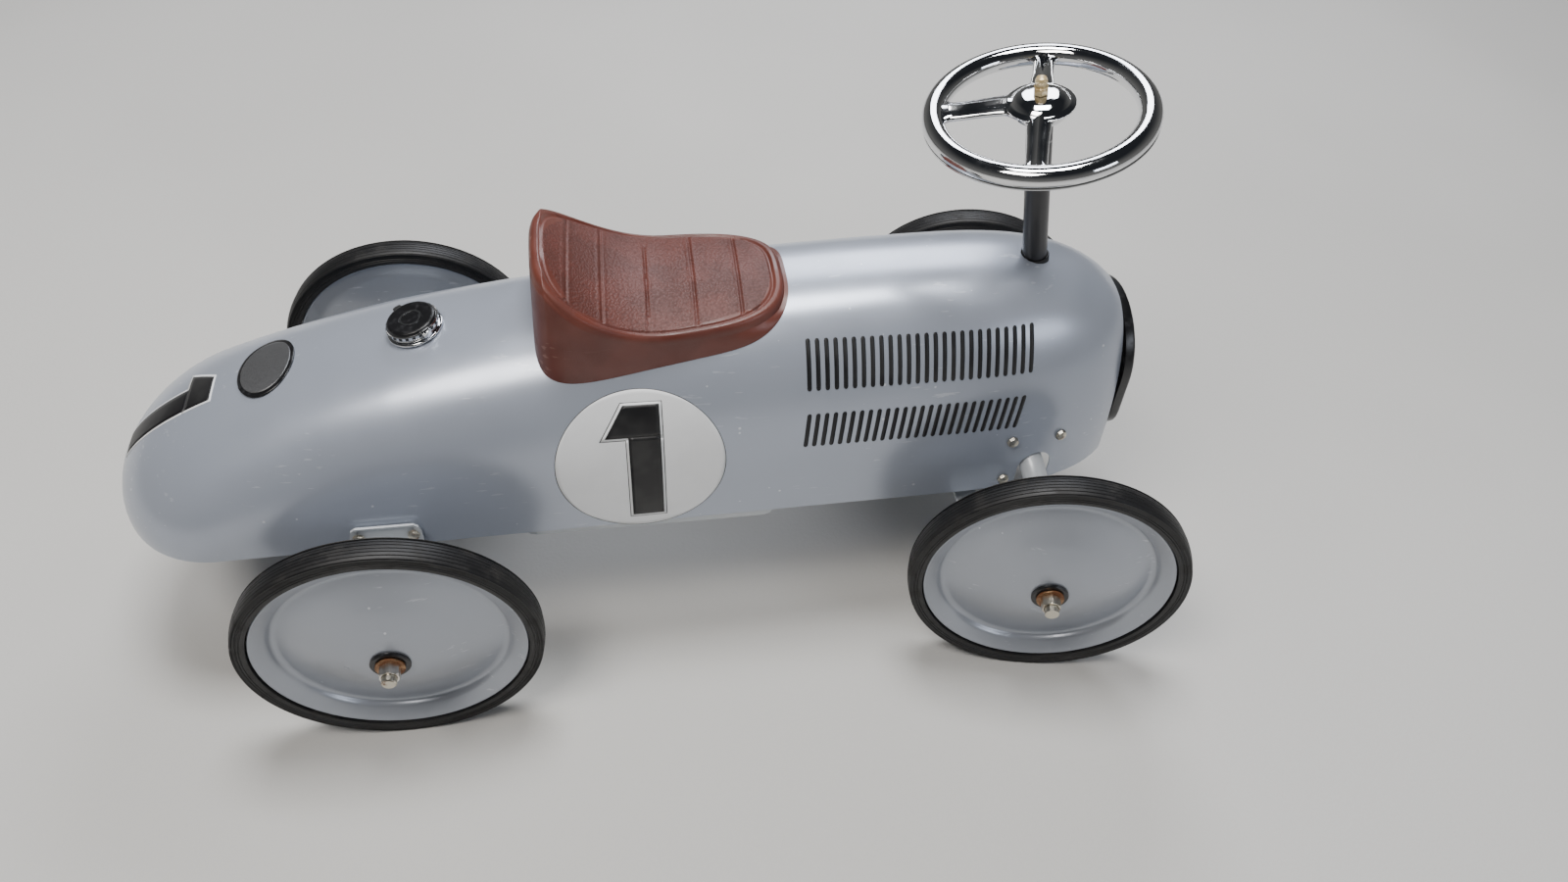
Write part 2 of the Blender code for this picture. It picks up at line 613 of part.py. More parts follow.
def axle_nut(name, carrier, face_y):
    """Hexagon nut with a round washer face, on the end of an axle."""
    low = face_y + 10 * MM + 2 * GAP
    bore, across = AXLE_RADIUS + GAP, 7.6 * MM
    nut = add(name, turned([(bore, low), (11 * MM, low), (11 * MM, low + 1.5 * MM), (bore, low + 1.5 * MM)], 18),
              STEEL, carrier, smooth=False)
    hexagon = turned([(bore, low + MM), (across, low + MM), (across, low + 9 * MM), (bore, low + 9 * MM)], 18)
    for v in hexagon.verts:
        ring = sqrt(v.co.x ** 2 + v.co.y ** 2)
        if ring > bore + MM:
            angle = atan2(v.co.y, v.co.x)
            flat = 6.6 * MM / cos((angle + pi / 6) % (pi / 3) - pi / 6)
            v.co.x, v.co.y = flat * cos(angle), flat * sin(angle)
    cut(nut, hexagon, f"{name}_hexagon", "UNION").matrix_basis = Matrix.Rotation(-pi / 2, 4, "X")
    nut.matrix_basis = Matrix.Rotation(-pi / 2, 4, "X")


def rear_end(root):
    tip = FACE_Y + AXLE_BEYOND_TYRE
    add("rear_axle", rod(AXLE_RADIUS, (0, -tip, AXLE_Z), (0, tip, AXLE_Z)), STEEL, root)
    sheet = BRACKET_SHEET
    for side, label in ((-1, "right"), (1, "left")):
        wall = half_width(-26 * MM) + GAP
        leg = FACE_Y - 39 * MM
        line = [(wall, BODY_BOTTOM + 24 * MM), (wall, BODY_BOTTOM + 4 * MM), (wall + 3 * MM, BODY_BOTTOM),
                (leg - 4 * MM, BODY_BOTTOM - 8 * MM), (leg, BODY_BOTTOM - 13 * MM), (leg, AXLE_Z - 12 * MM)]
        half_lengths = [23 * MM, 24 * MM, 23.5 * MM, 16 * MM, 13 * MM, 11 * MM]
        bm = bmesh.new()
        rows = [[bm.verts.new((sx * half, side * y, z)) for sx in (-1, 1)]
                for (y, z), half in zip(line, half_lengths)]
        for a, b in zip(rows, rows[1:]):
            bm.faces.new((a[0], a[1], b[1], b[0]))
        bmesh.ops.recalc_face_normals(bm, faces=bm.faces)
        if bm.faces[0].normal.y * side < 0:
            bmesh.ops.reverse_faces(bm, faces=bm.faces)
        mesh = bpy.data.meshes.new("rear_bracket")
        bm.to_mesh(mesh)
        bm.free()
        bracket = bpy.data.objects.new(f"rear_bracket_{label}", mesh)
        mesh.materials.append(material(WHITE_PAINT))
        bracket.parent = root
        bpy.context.collection.objects.link(bracket)
        thick = bracket.modifiers.new("sheet", "SOLIDIFY")
        thick.thickness = sheet
        thick.offset = 1
        thick.use_even_offset = True
        cut(bracket, rod(AXLE_RADIUS + GAP, (0, side * (leg - 9 * MM), AXLE_Z), (0, side * (leg + 9 * MM), AXLE_Z)),
            f"axle_hole_{label}")
        for index, (x, z, _) in enumerate(rear_screws(side)):
            cut(bracket, rod(SCREW_HOLE, (x, side * (wall - 6 * MM), z), (x, side * (wall + 9 * MM), z), 8),
                f"bracket_hole_{index}_{label}")
            screw(f"rear_screw_{label}_{index + 1}", root, Vector((x, side * (wall + sheet + GAP), z)),
                  Vector((0, side, 0)))
        spinner = empty(f"rear_wheel_{label}", (0, 0, AXLE_Z), (0, 0, 0 if side > 0 else pi), root)
        wheel_pieces(f"rear_{label}", spinner, FACE_Y, leg + sheet + 1.2 * MM)
        axle_nut(f"rear_nut_{label}", spinner, FACE_Y)


def screw(name, parent, seat, out):
    """Pan-head screw: the head's underside is at seat and the shank points inwards."""
    shank, head = SCREW_SHANK, 4.4 * MM
    profile = [(0, -9 * MM), (shank, -9 * MM), (shank, 0), (head, 0), (head * 0.85, 2 * MM), (0, 3 * MM)]
    made = add(name, turned(profile, 8), STEEL, parent)
    made.matrix_basis = facing(seat, out)


def bracket_flank(side):
    """Plate that follows the shell's flank, left over-thick outside for trimming to the shell."""
    spans = (BRACKET_X, (BODY_BOTTOM + 4 * MM, BODY_BOTTOM + 55 * MM))
    return surface_patch(square_grid, BRACKET_SHEET + MM, -(SHEET + GAP + BRACKET_SHEET), spans,
                         lambda x, z: side_point(x, z, side), lambda x, z: side_normal(x, z, side), (3, 3))


def front_bracket(root):
    """Cross member inside the hood: two flanks that follow the shell and a web above the axle tube."""
    web_half = half_width(BRACKET_X[1]) - SHEET - BRACKET_SHEET
    web = slab([(BRACKET_X[0], -half_width(BRACKET_X[0]) + 3 * MM), (BRACKET_X[1], -web_half + MM),
                (BRACKET_X[1], web_half - MM), (BRACKET_X[0], half_width(BRACKET_X[0]) - 3 * MM)],
               BRACKET_WEB_Z, BRACKET_WEB_Z + BRACKET_SHEET)
    bracket = add("front_bracket", web, STEEL, root, smooth=False)
    for side in (-1, 1):
        flank = cut(bracket, bracket_flank(side), f"flank_{side}", "UNION")
        clear_x, clear_z = BRACKET_X[0] + 18 * MM, BRACKET_WEB_Z + MM
        outline = [(clear_x, BODY_BOTTOM - 5 * MM), (BRACKET_X[1] + 9 * MM, BODY_BOTTOM - 5 * MM),
                   (BRACKET_X[1] + 9 * MM, clear_z), (clear_x, clear_z)]
        reach = sorted((side * 40 * MM, side * 110 * MM))
        cut(flank, slab(outline, reach[0], reach[1], "Y"), f"axle_clearance_{side}")
    cut(bracket, body_sheet(offset=-SHEET - GAP, closed=True), "inside_shell", "INTERSECT")
    bush = column_point(BRACKET_WEB_Z)
    cut(bracket, rod(COLUMN_RADIUS + 3 * MM, bush - COLUMN_UP * 9 * MM, bush + COLUMN_UP * 9 * MM), "bush_hole")
    for side in (-1, 1):
        cut(bracket, rod(3.3 * MM, (COLUMN_X, side * AXLE_BOLT_Y, BRACKET_WEB_Z - 5 * MM),
                         (COLUMN_X, side * AXLE_BOLT_Y, BRACKET_WEB_Z + 8 * MM), 16), f"bolt_hole_{side}")
        for index, (x, z, _) in enumerate(front_screws(side)):
            place, out = side_point(x, z, side), side_normal(x, z, side)
            cut(bracket, rod(SCREW_HOLE, place - out * 9 * MM, place + out * 4 * MM, 8),
                f"flank_hole_{index}_{side}")
            label = "left" if side > 0 else "right"
            screw(f"front_screw_{label}_{index + 1}", root, place + out * (GAP + 0.2 * MM), out)


def front_axle(root):
    """Tube bent down at both ends, with a kingpin sleeve welded to each."""
    half = [(COLUMN_X, 66 * MM, TUBE_Z)]
    end = (WHEELBASE - MM, KINGPIN_Y - 6 * MM, (SLEEVE_LOW + SLEEVE_HIGH) / 2 - 2.5 * MM)
    half += bend((COLUMN_X, 0, TUBE_Z), (COLUMN_X, 78 * MM, TUBE_Z), end, 18 * MM)
    half.append(end)
    mirrored = [(x, -y, z) for x, y, z in half]
    path = mirrored[::-1] + half
    axle = add("front_axle", tube(path, TUBE_RADIUS), WHITE_PAINT, root)
    for side in (-1, 1):
        place = (WHEELBASE, side * KINGPIN_Y)
        cut(axle, rod(9.5 * MM, (*place, SLEEVE_LOW), (*place, SLEEVE_HIGH)), f"sleeve_{side}", "UNION")
        cut(axle, rod(AXLE_RADIUS + RUNNING, (*place, SLEEVE_LOW - 9 * MM), (*place, SLEEVE_HIGH + 9 * MM)),
            f"sleeve_bore_{side}")
        cut(axle, rod(3.3 * MM, (COLUMN_X, side * AXLE_BOLT_Y, TUBE_Z - 15 * MM),
                      (COLUMN_X, side * AXLE_BOLT_Y, TUBE_Z + 15 * MM), 16), f"tube_hole_{side}")
        head = BRACKET_WEB_Z + BRACKET_SHEET + GAP
        profile = [(0, TUBE_Z - 14 * MM), (2.9 * MM, TUBE_Z - 14 * MM), (2.9 * MM, head), (5.5 * MM, head),
                   (5.5 * MM, head + 4 * MM), (0, head + 4 * MM)]
        bolt = add(f"axle_bolt_{'left' if side > 0 else 'right'}", turned(profile, 6), STEEL, root, smooth=False)
        bolt.location = (COLUMN_X, side * AXLE_BOLT_Y, 0)


def front_wheel(root, side, label):
    """Stub axle, steering arm and wheel; local +Y points outwards and the kingpin is local Z."""
    knuckle = empty(f"knuckle_{label}", (WHEELBASE, side * KINGPIN_Y, 0),
                    (0, 0, REST_STEER + (0 if side > 0 else pi)), root)
    tip = FACE_FROM_KINGPIN + AXLE_BEYOND_TYRE
    rest_top = SLEEVE_HIGH + 7 * MM
    path = [(0, 0, rest_top)] + bend((0, 0, rest_top), (0, 0, AXLE_Z), (0, tip, AXLE_Z), 6.5 * MM)
    path.append((0, tip, AXLE_Z))
    add(f"stub_axle_{label}", tube(path, AXLE_RADIUS, 12), STEEL, knuckle)
    back = 1 if side < 0 else -1
    outline = [(back * ARM_LENGTH + 8 * MM * back * cos(radians(a)), 8 * MM * sin(radians(a)) * back)
               for a in range(-90, 91, 30)]
    outline += [(11 * MM * -back * cos(radians(a)), 11 * MM * -back * sin(radians(a))) for a in range(-90, 91, 30)]
    arm = add(f"steering_arm_{label}", slab(outline, ARM_LOW, ARM_LOW + ARM_THICKNESS), WHITE_PAINT, knuckle,
              smooth=False)
    cut(arm, rod(AXLE_RADIUS + GAP, (0, 0, ARM_LOW - 5 * MM), (0, 0, ARM_LOW + 8 * MM)), f"arm_hole_{label}")
    cut(arm, rod(PIN_RADIUS, (back * ARM_LENGTH, 0, ARM_LOW + MM), (back * ARM_LENGTH, 0, TIE_LOW + 6 * MM), 16),
        f"arm_pin_{label}", "UNION")
    low = SLEEVE_HIGH + 0.6 * MM
    retainer = [(AXLE_RADIUS + GAP, low), (7.4 * MM, low), (6.8 * MM, low + 3 * MM), (AXLE_RADIUS + GAP, low + 3 * MM)]
    add(f"kingpin_retainer_{label}", turned(retainer, 12), STEEL, knuckle)
    spinner = empty(f"front_wheel_{label}", (0, 0, AXLE_Z), (0, 0, 0), knuckle)
    wheel_pieces(f"front_{label}", spinner, FACE_FROM_KINGPIN, 13 * MM)
    axle_nut(f"front_nut_{label}", spinner, FACE_FROM_KINGPIN)


def tie_rod(root):
    """Strap that links both arms, with a tongue that the crank pin swings."""
    travel = 0.977 * CRANK_LENGTH
    shift = -travel * REST_WHEEL_TURN
    pin_x = WHEELBASE - ARM_LENGTH
    half = 8 * MM
    end = KINGPIN_Y
    crank_x = column_point(crank_height()).x - CRANK_LENGTH * cos(COLUMN_RAKE)
    outline = [(pin_x + half * cos(radians(a)), end + half * sin(radians(a))) for a in range(0, 181, 30)]
    outline += [(pin_x + half * cos(radians(a)), -end + half * sin(radians(a))) for a in range(180, 361, 30)]
    outline += [(pin_x + half, -26 * MM), (crank_x + 4 * MM, -11 * MM), (crank_x + 12 * MM, -7 * MM),
                (crank_x + 12 * MM, 7 * MM), (crank_x + 4 * MM, 11 * MM), (pin_x + half, 26 * MM)]
    rod_strap = add("tie_rod", slab([(x, y + shift) for x, y in outline], TIE_LOW, TIE_LOW + TIE_THICKNESS),
                    WHITE_PAINT, root, smooth=False)
    arc = ARM_LENGTH * (1 - cos(STEER_LIMIT))
    slots = [(pin_x + arc / 2, y, PIN_RADIUS + 0.7 * MM, arc / 2) for y in (-end, end)]
    crank_arc = CRANK_LENGTH * (1 - cos(STEER_LIMIT / STEER_RATIO))
    slots.append((crank_x + crank_arc / 2, 0, PIN_RADIUS + 1.0 * MM, crank_arc / 2 + 0.4 * MM))
    for index, (x, y, wide, play) in enumerate(slots):
        hole = rounded(wide + play + 0.4 * MM, wide, wide - 0.01 * MM, (x, y + shift))
        cut(rod_strap, slab(hole, TIE_LOW - 3 * MM, TIE_LOW + 6 * MM), f"tie_slot_{index}")


def crank_height():
    """Where the crank plate's middle crosses the column's axis."""
    return TIE_LOW + TIE_THICKNESS + 1.2 * MM + ARM_THICKNESS / 2 + (CRANK_LENGTH + 8 * MM) * sin(COLUMN_RAKE)


def steering(root):
    """Column, crank and steering wheel; local Z is the column's axis."""
    low = column_point(crank_height())
    hub = column_point(WHEEL_HEIGHT)
    length = (hub - low).length
    turn = Matrix.Rotation(-COLUMN_RAKE, 4, "Y") @ Matrix.Rotation(REST_WHEEL_TURN, 4, "Z")
    axis = empty("steering_axis", hub, turn.to_euler(), root)
    foot = -length + ARM_THICKNESS / 2 + GAP
    stud = 2.9 * MM
    profile = [(0, foot), (COLUMN_RADIUS, foot), (COLUMN_RADIUS, HUB_RISE - 9 * MM), (stud, HUB_RISE - 9 * MM),
               (stud, HUB_RISE + 19 * MM), (0, HUB_RISE + 19 * MM)]
    add("steering_column", turned(profile, 20), BLACK_PAINT, axis)
    outline = [(-CRANK_LENGTH - 7 * MM * cos(radians(a)), -7 * MM * sin(radians(a))) for a in range(-90, 91, 30)]
    outline += [(9 * MM * cos(radians(a)), 9 * MM * sin(radians(a))) for a in range(-90, 91, 30)]
    crank = add("steering_crank", slab(outline, -length - ARM_THICKNESS / 2, -length + ARM_THICKNESS / 2),
                STEEL, axis, smooth=False)
    cut(crank, rod(PIN_RADIUS, (-CRANK_LENGTH, 0, -length), (-CRANK_LENGTH, 0, -length - 10.5 * MM), 16),
        "crank_pin", "UNION")
    steering_wheel(axis, stud)
    upper = column_point(top_point(COLUMN_X, 0).z)
    grommet_profile = [(COLUMN_RADIUS + RUNNING, -6 * MM), (COLUMN_RADIUS + 1.6 * MM, -6 * MM),
                       (COLUMN_RADIUS + 1.6 * MM, 1 * MM), (COLUMN_RADIUS + RUNNING, 1 * MM)]
    fixed = Matrix.Rotation(-COLUMN_RAKE, 4, "Y")
    grommet = add("hood_grommet", turned(grommet_profile, 20), RUBBER, root)
    grommet.matrix_basis = Matrix.Translation(upper) @ fixed
    bore, sleeve, flange = COLUMN_RADIUS + RUNNING, COLUMN_RADIUS + 2.6 * MM, COLUMN_RADIUS + 5.5 * MM
    seat = (BRACKET_SHEET + GAP + flange * sin(COLUMN_RAKE)) / cos(COLUMN_RAKE)
    lip = seat + 2.3 * MM
    bush_profile = [(bore, -7 * MM), (sleeve, -7 * MM), (sleeve, seat), (flange, seat), (flange, lip), (bore, lip)]
    bush = add("column_bush", turned(bush_profile, 20), BLACK_PLASTIC, root)
    bush.matrix_basis = Matrix.Translation(column_point(BRACKET_WEB_Z)) @ fixed


def steering_wheel(axis, stud):
    tube_r = RIM_THICKNESS / 2
    ring = [(RIM_RADIUS + tube_r * cos(radians(a)), tube_r * sin(radians(a))) for a in range(0, 360, 45)]
    rim = add("steering_wheel", turned(ring, 32), CHROME, axis)
    hub = [(stud + GAP, -8.5 * MM), (13 * MM, -8.5 * MM), (19 * MM, -2 * MM), (22 * MM, 2 * MM), (20 * MM, 3.6 * MM),
           (16 * MM, 6.5 * MM), (9 * MM, 8.5 * MM), (stud + GAP, 8.5 * MM)]
    hub = [(radius, height + HUB_RISE) for radius, height in hub]
    cut(rim, turned(hub, 20), "hub", "UNION")
    for index, heading in enumerate((90, 180, 270)):
        bm = bmesh.new()
        bmesh.ops.create_cube(bm, size=1)
        for v in bm.verts:
            outer = v.co.x > 0
            v.co.x = RIM_RADIUS if outer else 14 * MM
            v.co.y *= 14 * MM if outer else 17 * MM
            v.co.z = v.co.z * 6 * MM + (0 if outer else HUB_RISE)
        bmesh.ops.rotate(bm, verts=bm.verts, cent=(0, 0, 0), matrix=Matrix.Rotation(radians(heading), 3, "Z"))
        cut(rim, bm, f"spoke_{index}", "UNION")
    bore = stud + GAP
    nut = [(bore, 8.8 * MM), (5.4 * MM, 8.8 * MM), (5.4 * MM, 10 * MM), (4.6 * MM, 10 * MM),
           (4.8 * MM, 15.5 * MM), (3.9 * MM, 16.5 * MM), (3.9 * MM, 20.5 * MM), (2.6 * MM, 23.5 * MM),
           (0, 24.3 * MM), (0, 20.5 * MM), (bore, 19.4 * MM)]
    nut = [(radius, height + HUB_RISE) for radius, height in nut]
    add("acorn_nut", turned(nut, 12), BRASS, axis)


# ---------------------------------------------------------------- assembly
def centre_on_ground(root):
    """Move the whole racer so that the middle of its outer box is over the origin."""
    bpy.context.view_layer.update()
    graph = bpy.context.evaluated_depsgraph_get()
    xs = []
    for piece in bpy.data.objects:
        if piece.type == "MESH" and not piece.hide_render:
            seen = piece.evaluated_get(graph)
            xs += [(seen.matrix_world @ corner.co).x for corner in seen.data.vertices]
    root.location.x = -(min(xs) + max(xs)) / 2
    bpy.context.view_layer.update()


def build():
    clear_scene()
    root = empty("racer", (0, 0, 0))
    body_shell(root)
    floor_pan(root)
    nose_trim(root)
    filler(root)
    tail_badge(root)
    saddle(root)
    rear_end(root)
    front_bracket(root)
    front_axle(root)
    front_wheel(root, 1, "left")
    front_wheel(root, -1, "right")
    tie_rod(root)
    steering(root)
    centre_on_ground(root)


build()
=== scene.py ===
"""Looks of a child's foot-to-floor steel racer: enamelled bullet body with printed
louvres and a number roundel, dished wheels on solid rubber, moulded saddle and a
chromed steering wheel on a black column.
"""
from math import atan2, cos, pi, radians, sin, sqrt

import bmesh
import bpy
from mathutils import Matrix, Vector


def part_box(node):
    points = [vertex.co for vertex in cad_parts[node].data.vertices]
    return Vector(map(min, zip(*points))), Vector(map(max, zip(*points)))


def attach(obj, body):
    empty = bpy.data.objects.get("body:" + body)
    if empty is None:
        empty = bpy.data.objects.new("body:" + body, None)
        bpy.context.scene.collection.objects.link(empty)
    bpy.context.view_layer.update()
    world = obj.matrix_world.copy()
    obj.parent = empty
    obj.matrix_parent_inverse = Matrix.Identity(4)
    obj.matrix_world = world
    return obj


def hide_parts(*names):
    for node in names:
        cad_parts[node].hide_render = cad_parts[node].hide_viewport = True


MM = 0.001
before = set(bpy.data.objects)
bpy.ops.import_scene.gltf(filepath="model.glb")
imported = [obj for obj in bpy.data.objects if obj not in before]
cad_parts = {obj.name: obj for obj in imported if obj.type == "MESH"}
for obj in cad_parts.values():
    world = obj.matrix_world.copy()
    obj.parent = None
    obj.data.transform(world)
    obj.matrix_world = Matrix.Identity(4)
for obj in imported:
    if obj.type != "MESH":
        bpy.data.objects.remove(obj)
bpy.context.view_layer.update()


# ---------------------------------------------------------------- places taken from the frame
def middle(node):
    low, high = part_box(node)
    return (Vector(low) + Vector(high)) / 2


def top(node):
    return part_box(node)[1][2]


AXLE_X = middle("rear_axle").x
AXLE_Z = middle("rear_axle").z
AXLE_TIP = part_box("rear_axle")[1][1]
PIN_X = middle("kingpin_retainer_left").x
PIN_Y = middle("kingpin_retainer_left").y
WHEEL_R = top("rear_left_tyre") / 2
FACE_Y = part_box("rear_left_tyre")[1][1]
TYRE_W = FACE_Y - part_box("rear_left_tyre")[0][1]
FACE_OUT = FACE_Y - PIN_Y
TYRE_DEEP = 10.3 * MM            # from the tread down to the rim
BODY_BOTTOM = AXLE_Z + 27 * MM

REST_STEER = radians(-11.5)      # the front wheels stand turned right
STEER_RATIO = 0.6                # front wheel angle over steering wheel angle
REST_WHEEL = REST_STEER / STEER_RATIO
RAKE = radians(10)
HUB_UP = 109 * MM                # steering wheel's hub above the top of the body
COLUMN_R = 8.4 * MM

# ---------------------------------------------------------------- shell's surface, rear axle at x = 0
BODY_HALF, BODY_NARROWING, BODY_HIGH, BODY_LONG = 89 * MM, 6 * MM, 152 * MM, 706 * MM
TAIL_X = -186 * MM
NOSE_X = TAIL_X + BODY_LONG
NOSE_TAPER, TAIL_TAPER = 140 * MM, 74 * MM
SHEET = 1.2 * MM
COLUMN_X = 454.5 * MM
FILLER_X = 32 * MM
TUBE_UP = 21 * MM                # axle tube above the body's lower edge
SEAT_REAR, SEAT_LONG = 112 * MM, 165 * MM
SEAT_MIDDLE = SEAT_REAR + SEAT_LONG / 2
SEAT_GAP = 0.35 * MM             # between the saddle's foot and the shell
FILM = 0.05 * MM                 # thickness of a printed film
FLANK_STEPS = 120                # chords that measure the way up a flank
TINY = 1e-9
AROUND = 160                     # steps of a wheel-sized turning


def nose_share(x):
    u = min(max((x - NOSE_X + NOSE_TAPER) / (NOSE_TAPER * 8 / 7), 0), 1)
    return (1 - u ** 3) ** (1 / 2.4)


def half_width(x):
    inset = TAIL_X + TAIL_TAPER - x
    tail = sqrt(max(1 - (inset / TAIL_TAPER) ** 2.1, 0)) if inset > 0 else 1
    along = max(-inset, 0) / (BODY_LONG - TAIL_TAPER)
    return (BODY_HALF - BODY_NARROWING * along) * tail * nose_share(x)


def crown(x):
    rise = min(max((x - TAIL_X) / (0.87 * BODY_LONG), 0), 1)
    return BODY_HIGH * (1 - (1 - rise) ** 2) ** (1 / 2.05) * (0.4 + 0.6 * nose_share(x))


def power(x):
    return 2 + 0.5 * min(max((x - TAIL_X) / (200 * MM), 0), 1)


def section(x, angle, grow=0.0):
    """Point of the shell's section at x; angle 0 is the right lower edge, pi the left one."""
    wide, high, n = half_width(x) + grow, crown(x) + grow, power(x)
    y = -wide * abs(cos(angle)) ** (2 / n) * (1 if cos(angle) > 0 else -1)
    return Vector((x, y, BODY_BOTTOM + high * abs(sin(angle)) ** (2 / n)))


def top_point(x, y):
    share = min(abs(y) / max(half_width(x), MM), 1)
    return Vector((x, y, BODY_BOTTOM + crown(x) * (1 - share ** power(x)) ** (1 / power(x))))


def top_normal(x, y):
    step = 0.5 * MM
    along = top_point(x + step, y) - top_point(x - step, y)
    across = top_point(x, y + step) - top_point(x, y - step)
    return along.cross(across).normalized()


def climb(x, distance, side, lift=0.0):
    """Point reached by going that far up the shell's flank from its lower edge."""
    here = section(x, 0)
    for step in range(1, FLANK_STEPS + 1):
        ahead = section(x, pi / 2 * step / FLANK_STEPS)
        length = (ahead - here).length
        if distance <= length:
            here = here.lerp(ahead, distance / max(length, TINY))
            break
        distance -= length
        here = ahead
    slope = atan2(ahead.z - here.z, ahead.y - here.y)
    out = Vector((0, -sin(slope), cos(slope)))
    lean = (half_width(x + 2 * MM) - half_width(x - 2 * MM)) / (4 * MM)
    out = Vector((-lean * abs(out.y), out.y, out.z)).normalized()
    point = here + out * lift
    return Vector((point.x, point.y * -side, point.z))


def height_to_climb(x, height):
    """How far up the flank a height above the lower edge lies."""
    walked, here = 0.0, section(x, 0)
    for step in range(1, FLANK_STEPS + 1):
        ahead = section(x, pi / 2 * step / FLANK_STEPS)
        if ahead.z - BODY_BOTTOM >= height:
            part = (height + BODY_BOTTOM - here.z) / max(ahead.z - here.z, TINY)
            return walked + (ahead - here).length * part
        walked += (ahead - here).length
        here = ahead
    return walked


def column_point(z):
    hood = top_point(COLUMN_X, 0)
    return hood + Vector((-sin(RAKE), 0, cos(RAKE))) * ((z - hood.z) / cos(RAKE))


TO_FRAME = Matrix.Translation((AXLE_X, 0, 0))
LIE = Matrix.Rotation(-pi / 2, 4, "X")
HUB = TO_FRAME @ Matrix.Translation(column_point(BODY_BOTTOM + BODY_HIGH + HUB_UP))
STEERED = HUB @ Matrix.Rotation(-RAKE, 4, "Y") @ Matrix.Rotation(REST_WHEEL, 4, "Z")


def rear_place(side):
    turn = Matrix.Rotation(0 if side > 0 else pi, 4, "Z")
    return TO_FRAME @ Matrix.Translation((0, 0, AXLE_Z)) @ turn @ LIE


def front_place(side):
    turn = Matrix.Rotation(REST_STEER + (0 if side > 0 else pi), 4, "Z")
    return Matrix.Translation((PIN_X, side * PIN_Y, AXLE_Z)) @ turn @ LIE


# ---------------------------------------------------------------- shaping
def moved(bm, place):
    """Put a whole bmesh in its place."""
    bmesh.ops.transform(bm, matrix=place, verts=bm.verts)
    return bm


def in_mm(points, across=0.0, up=0.0):
    """Outline in metres, from points in millimetres measured from a corner at (across, up)."""
    return [(across + x * MM, up + y * MM) for x, y in points]


def turned(profile, steps=96, place=Matrix()):
    """A (radius, height) outline spun about Z and put in its place. One that starts off the
    axis is closed into a ring."""
    bm = bmesh.new()
    verts = [bm.verts.new((radius, 0, height)) for radius, height in profile]
    edges = [bm.edges.new(pair) for pair in zip(verts, verts[1:])]
    if profile[0][0] > TINY:
        edges.append(bm.edges.new((verts[-1], verts[0])))
    bmesh.ops.spin(bm, geom=verts + edges, cent=(0, 0, 0), axis=(0, 0, 1), angle=2 * pi, steps=steps,
                   use_merge=True)
    bmesh.ops.remove_doubles(bm, verts=bm.verts, dist=0.001 * MM)
    bmesh.ops.recalc_face_normals(bm, faces=bm.faces)
    return moved(bm, place)


def softened(profile, radius, steps=4):
    """The same outline with its inner corners rounded."""
    path = [Vector(p) for p in profile]
    result = [path[0]]
    for before, corner, after in zip(path, path[1:], path[2:]):
        a, b = before - corner, after - corner
        reach = min(radius, a.length * 0.45, b.length * 0.45)
        first, last = corner + a.normalized() * reach, corner + b.normalized() * reach
        for k in range(steps + 1):
            t = k / steps
            result.append(first * (1 - t) ** 2 + corner * 2 * t * (1 - t) + last * t * t)
    result.append(path[-1])
    return [tuple(p) for p in result]


def mapped(across, along, place):
    """A grid whose points are put where place(u, v) says, with u and v from 0 to 1."""
    bm = bmesh.new()
    bmesh.ops.create_grid(bm, x_segments=across, y_segments=along, size=0.5)
    for v in bm.verts:
        v.co = place(v.co.x + 0.5, v.co.y + 0.5)
    bmesh.ops.remove_doubles(bm, verts=bm.verts, dist=0.002 * MM)
    return bm


def merged(parts):
    """Several bmeshes as one."""
    bm = bmesh.new()
    for part in parts:
        mesh = bpy.data.meshes.new("part")
        part.to_mesh(mesh)
        part.free()
        bm.from_mesh(mesh)
        bpy.data.meshes.remove(mesh)
    return bm


def prism(outline, low, high, edge=0.0, place=Matrix()):
    """Flat outline raised from low to high, with its upper rim bevelled."""
    bm = bmesh.new()
    face = bm.faces.new([bm.verts.new((x, y, low)) for x, y in outline])
    raised = bmesh.ops.extrude_face_region(bm, geom=[face])["geom"]
    upper = [g for g in raised if isinstance(g, bmesh.types.BMVert)]
    bmesh.ops.translate(bm, verts=upper, vec=(0, 0, high - low))
    bmesh.ops.recalc_face_normals(bm, faces=bm.faces)
    if edge:
        rims = [e for e in bm.edges if all(v.co.z > (low + high) / 2 for v in e.verts)]
        bmesh.ops.bevel(bm, geom=rims, offset=edge, offset_type="OFFSET", segments=3, profile=0.5,
                        affect="EDGES", material=-1, clamp_overlap=True)
    return moved(bm, place)


def piece(name, bm, finish, body, replaces=(), wall=0.0, smooth=35, recalc=False):
    """Make a finished piece from bm and hand it to the frame."""
    if recalc:
        bmesh.ops.recalc_face_normals(bm, faces=bm.faces)
    mesh = bpy.data.meshes.new(name)
    bm.to_mesh(mesh)
    bm.free()
    mesh.shade_smooth()
    mesh.set_sharp_from_angle(angle=radians(smooth))
    made = bpy.data.objects.new(name, mesh)
    for one in finish if isinstance(finish, (list, tuple)) else (finish,):
        mesh.materials.append(one)
    bpy.context.collection.objects.link(made)
    if wall:
        sheet = made.modifiers.new("sheet", "SOLIDIFY")
        sheet.thickness = abs(wall)
        sheet.offset = 1 if wall > 0 else -1
    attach(made, body)
    if replaces:
        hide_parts(*replaces)
    return made


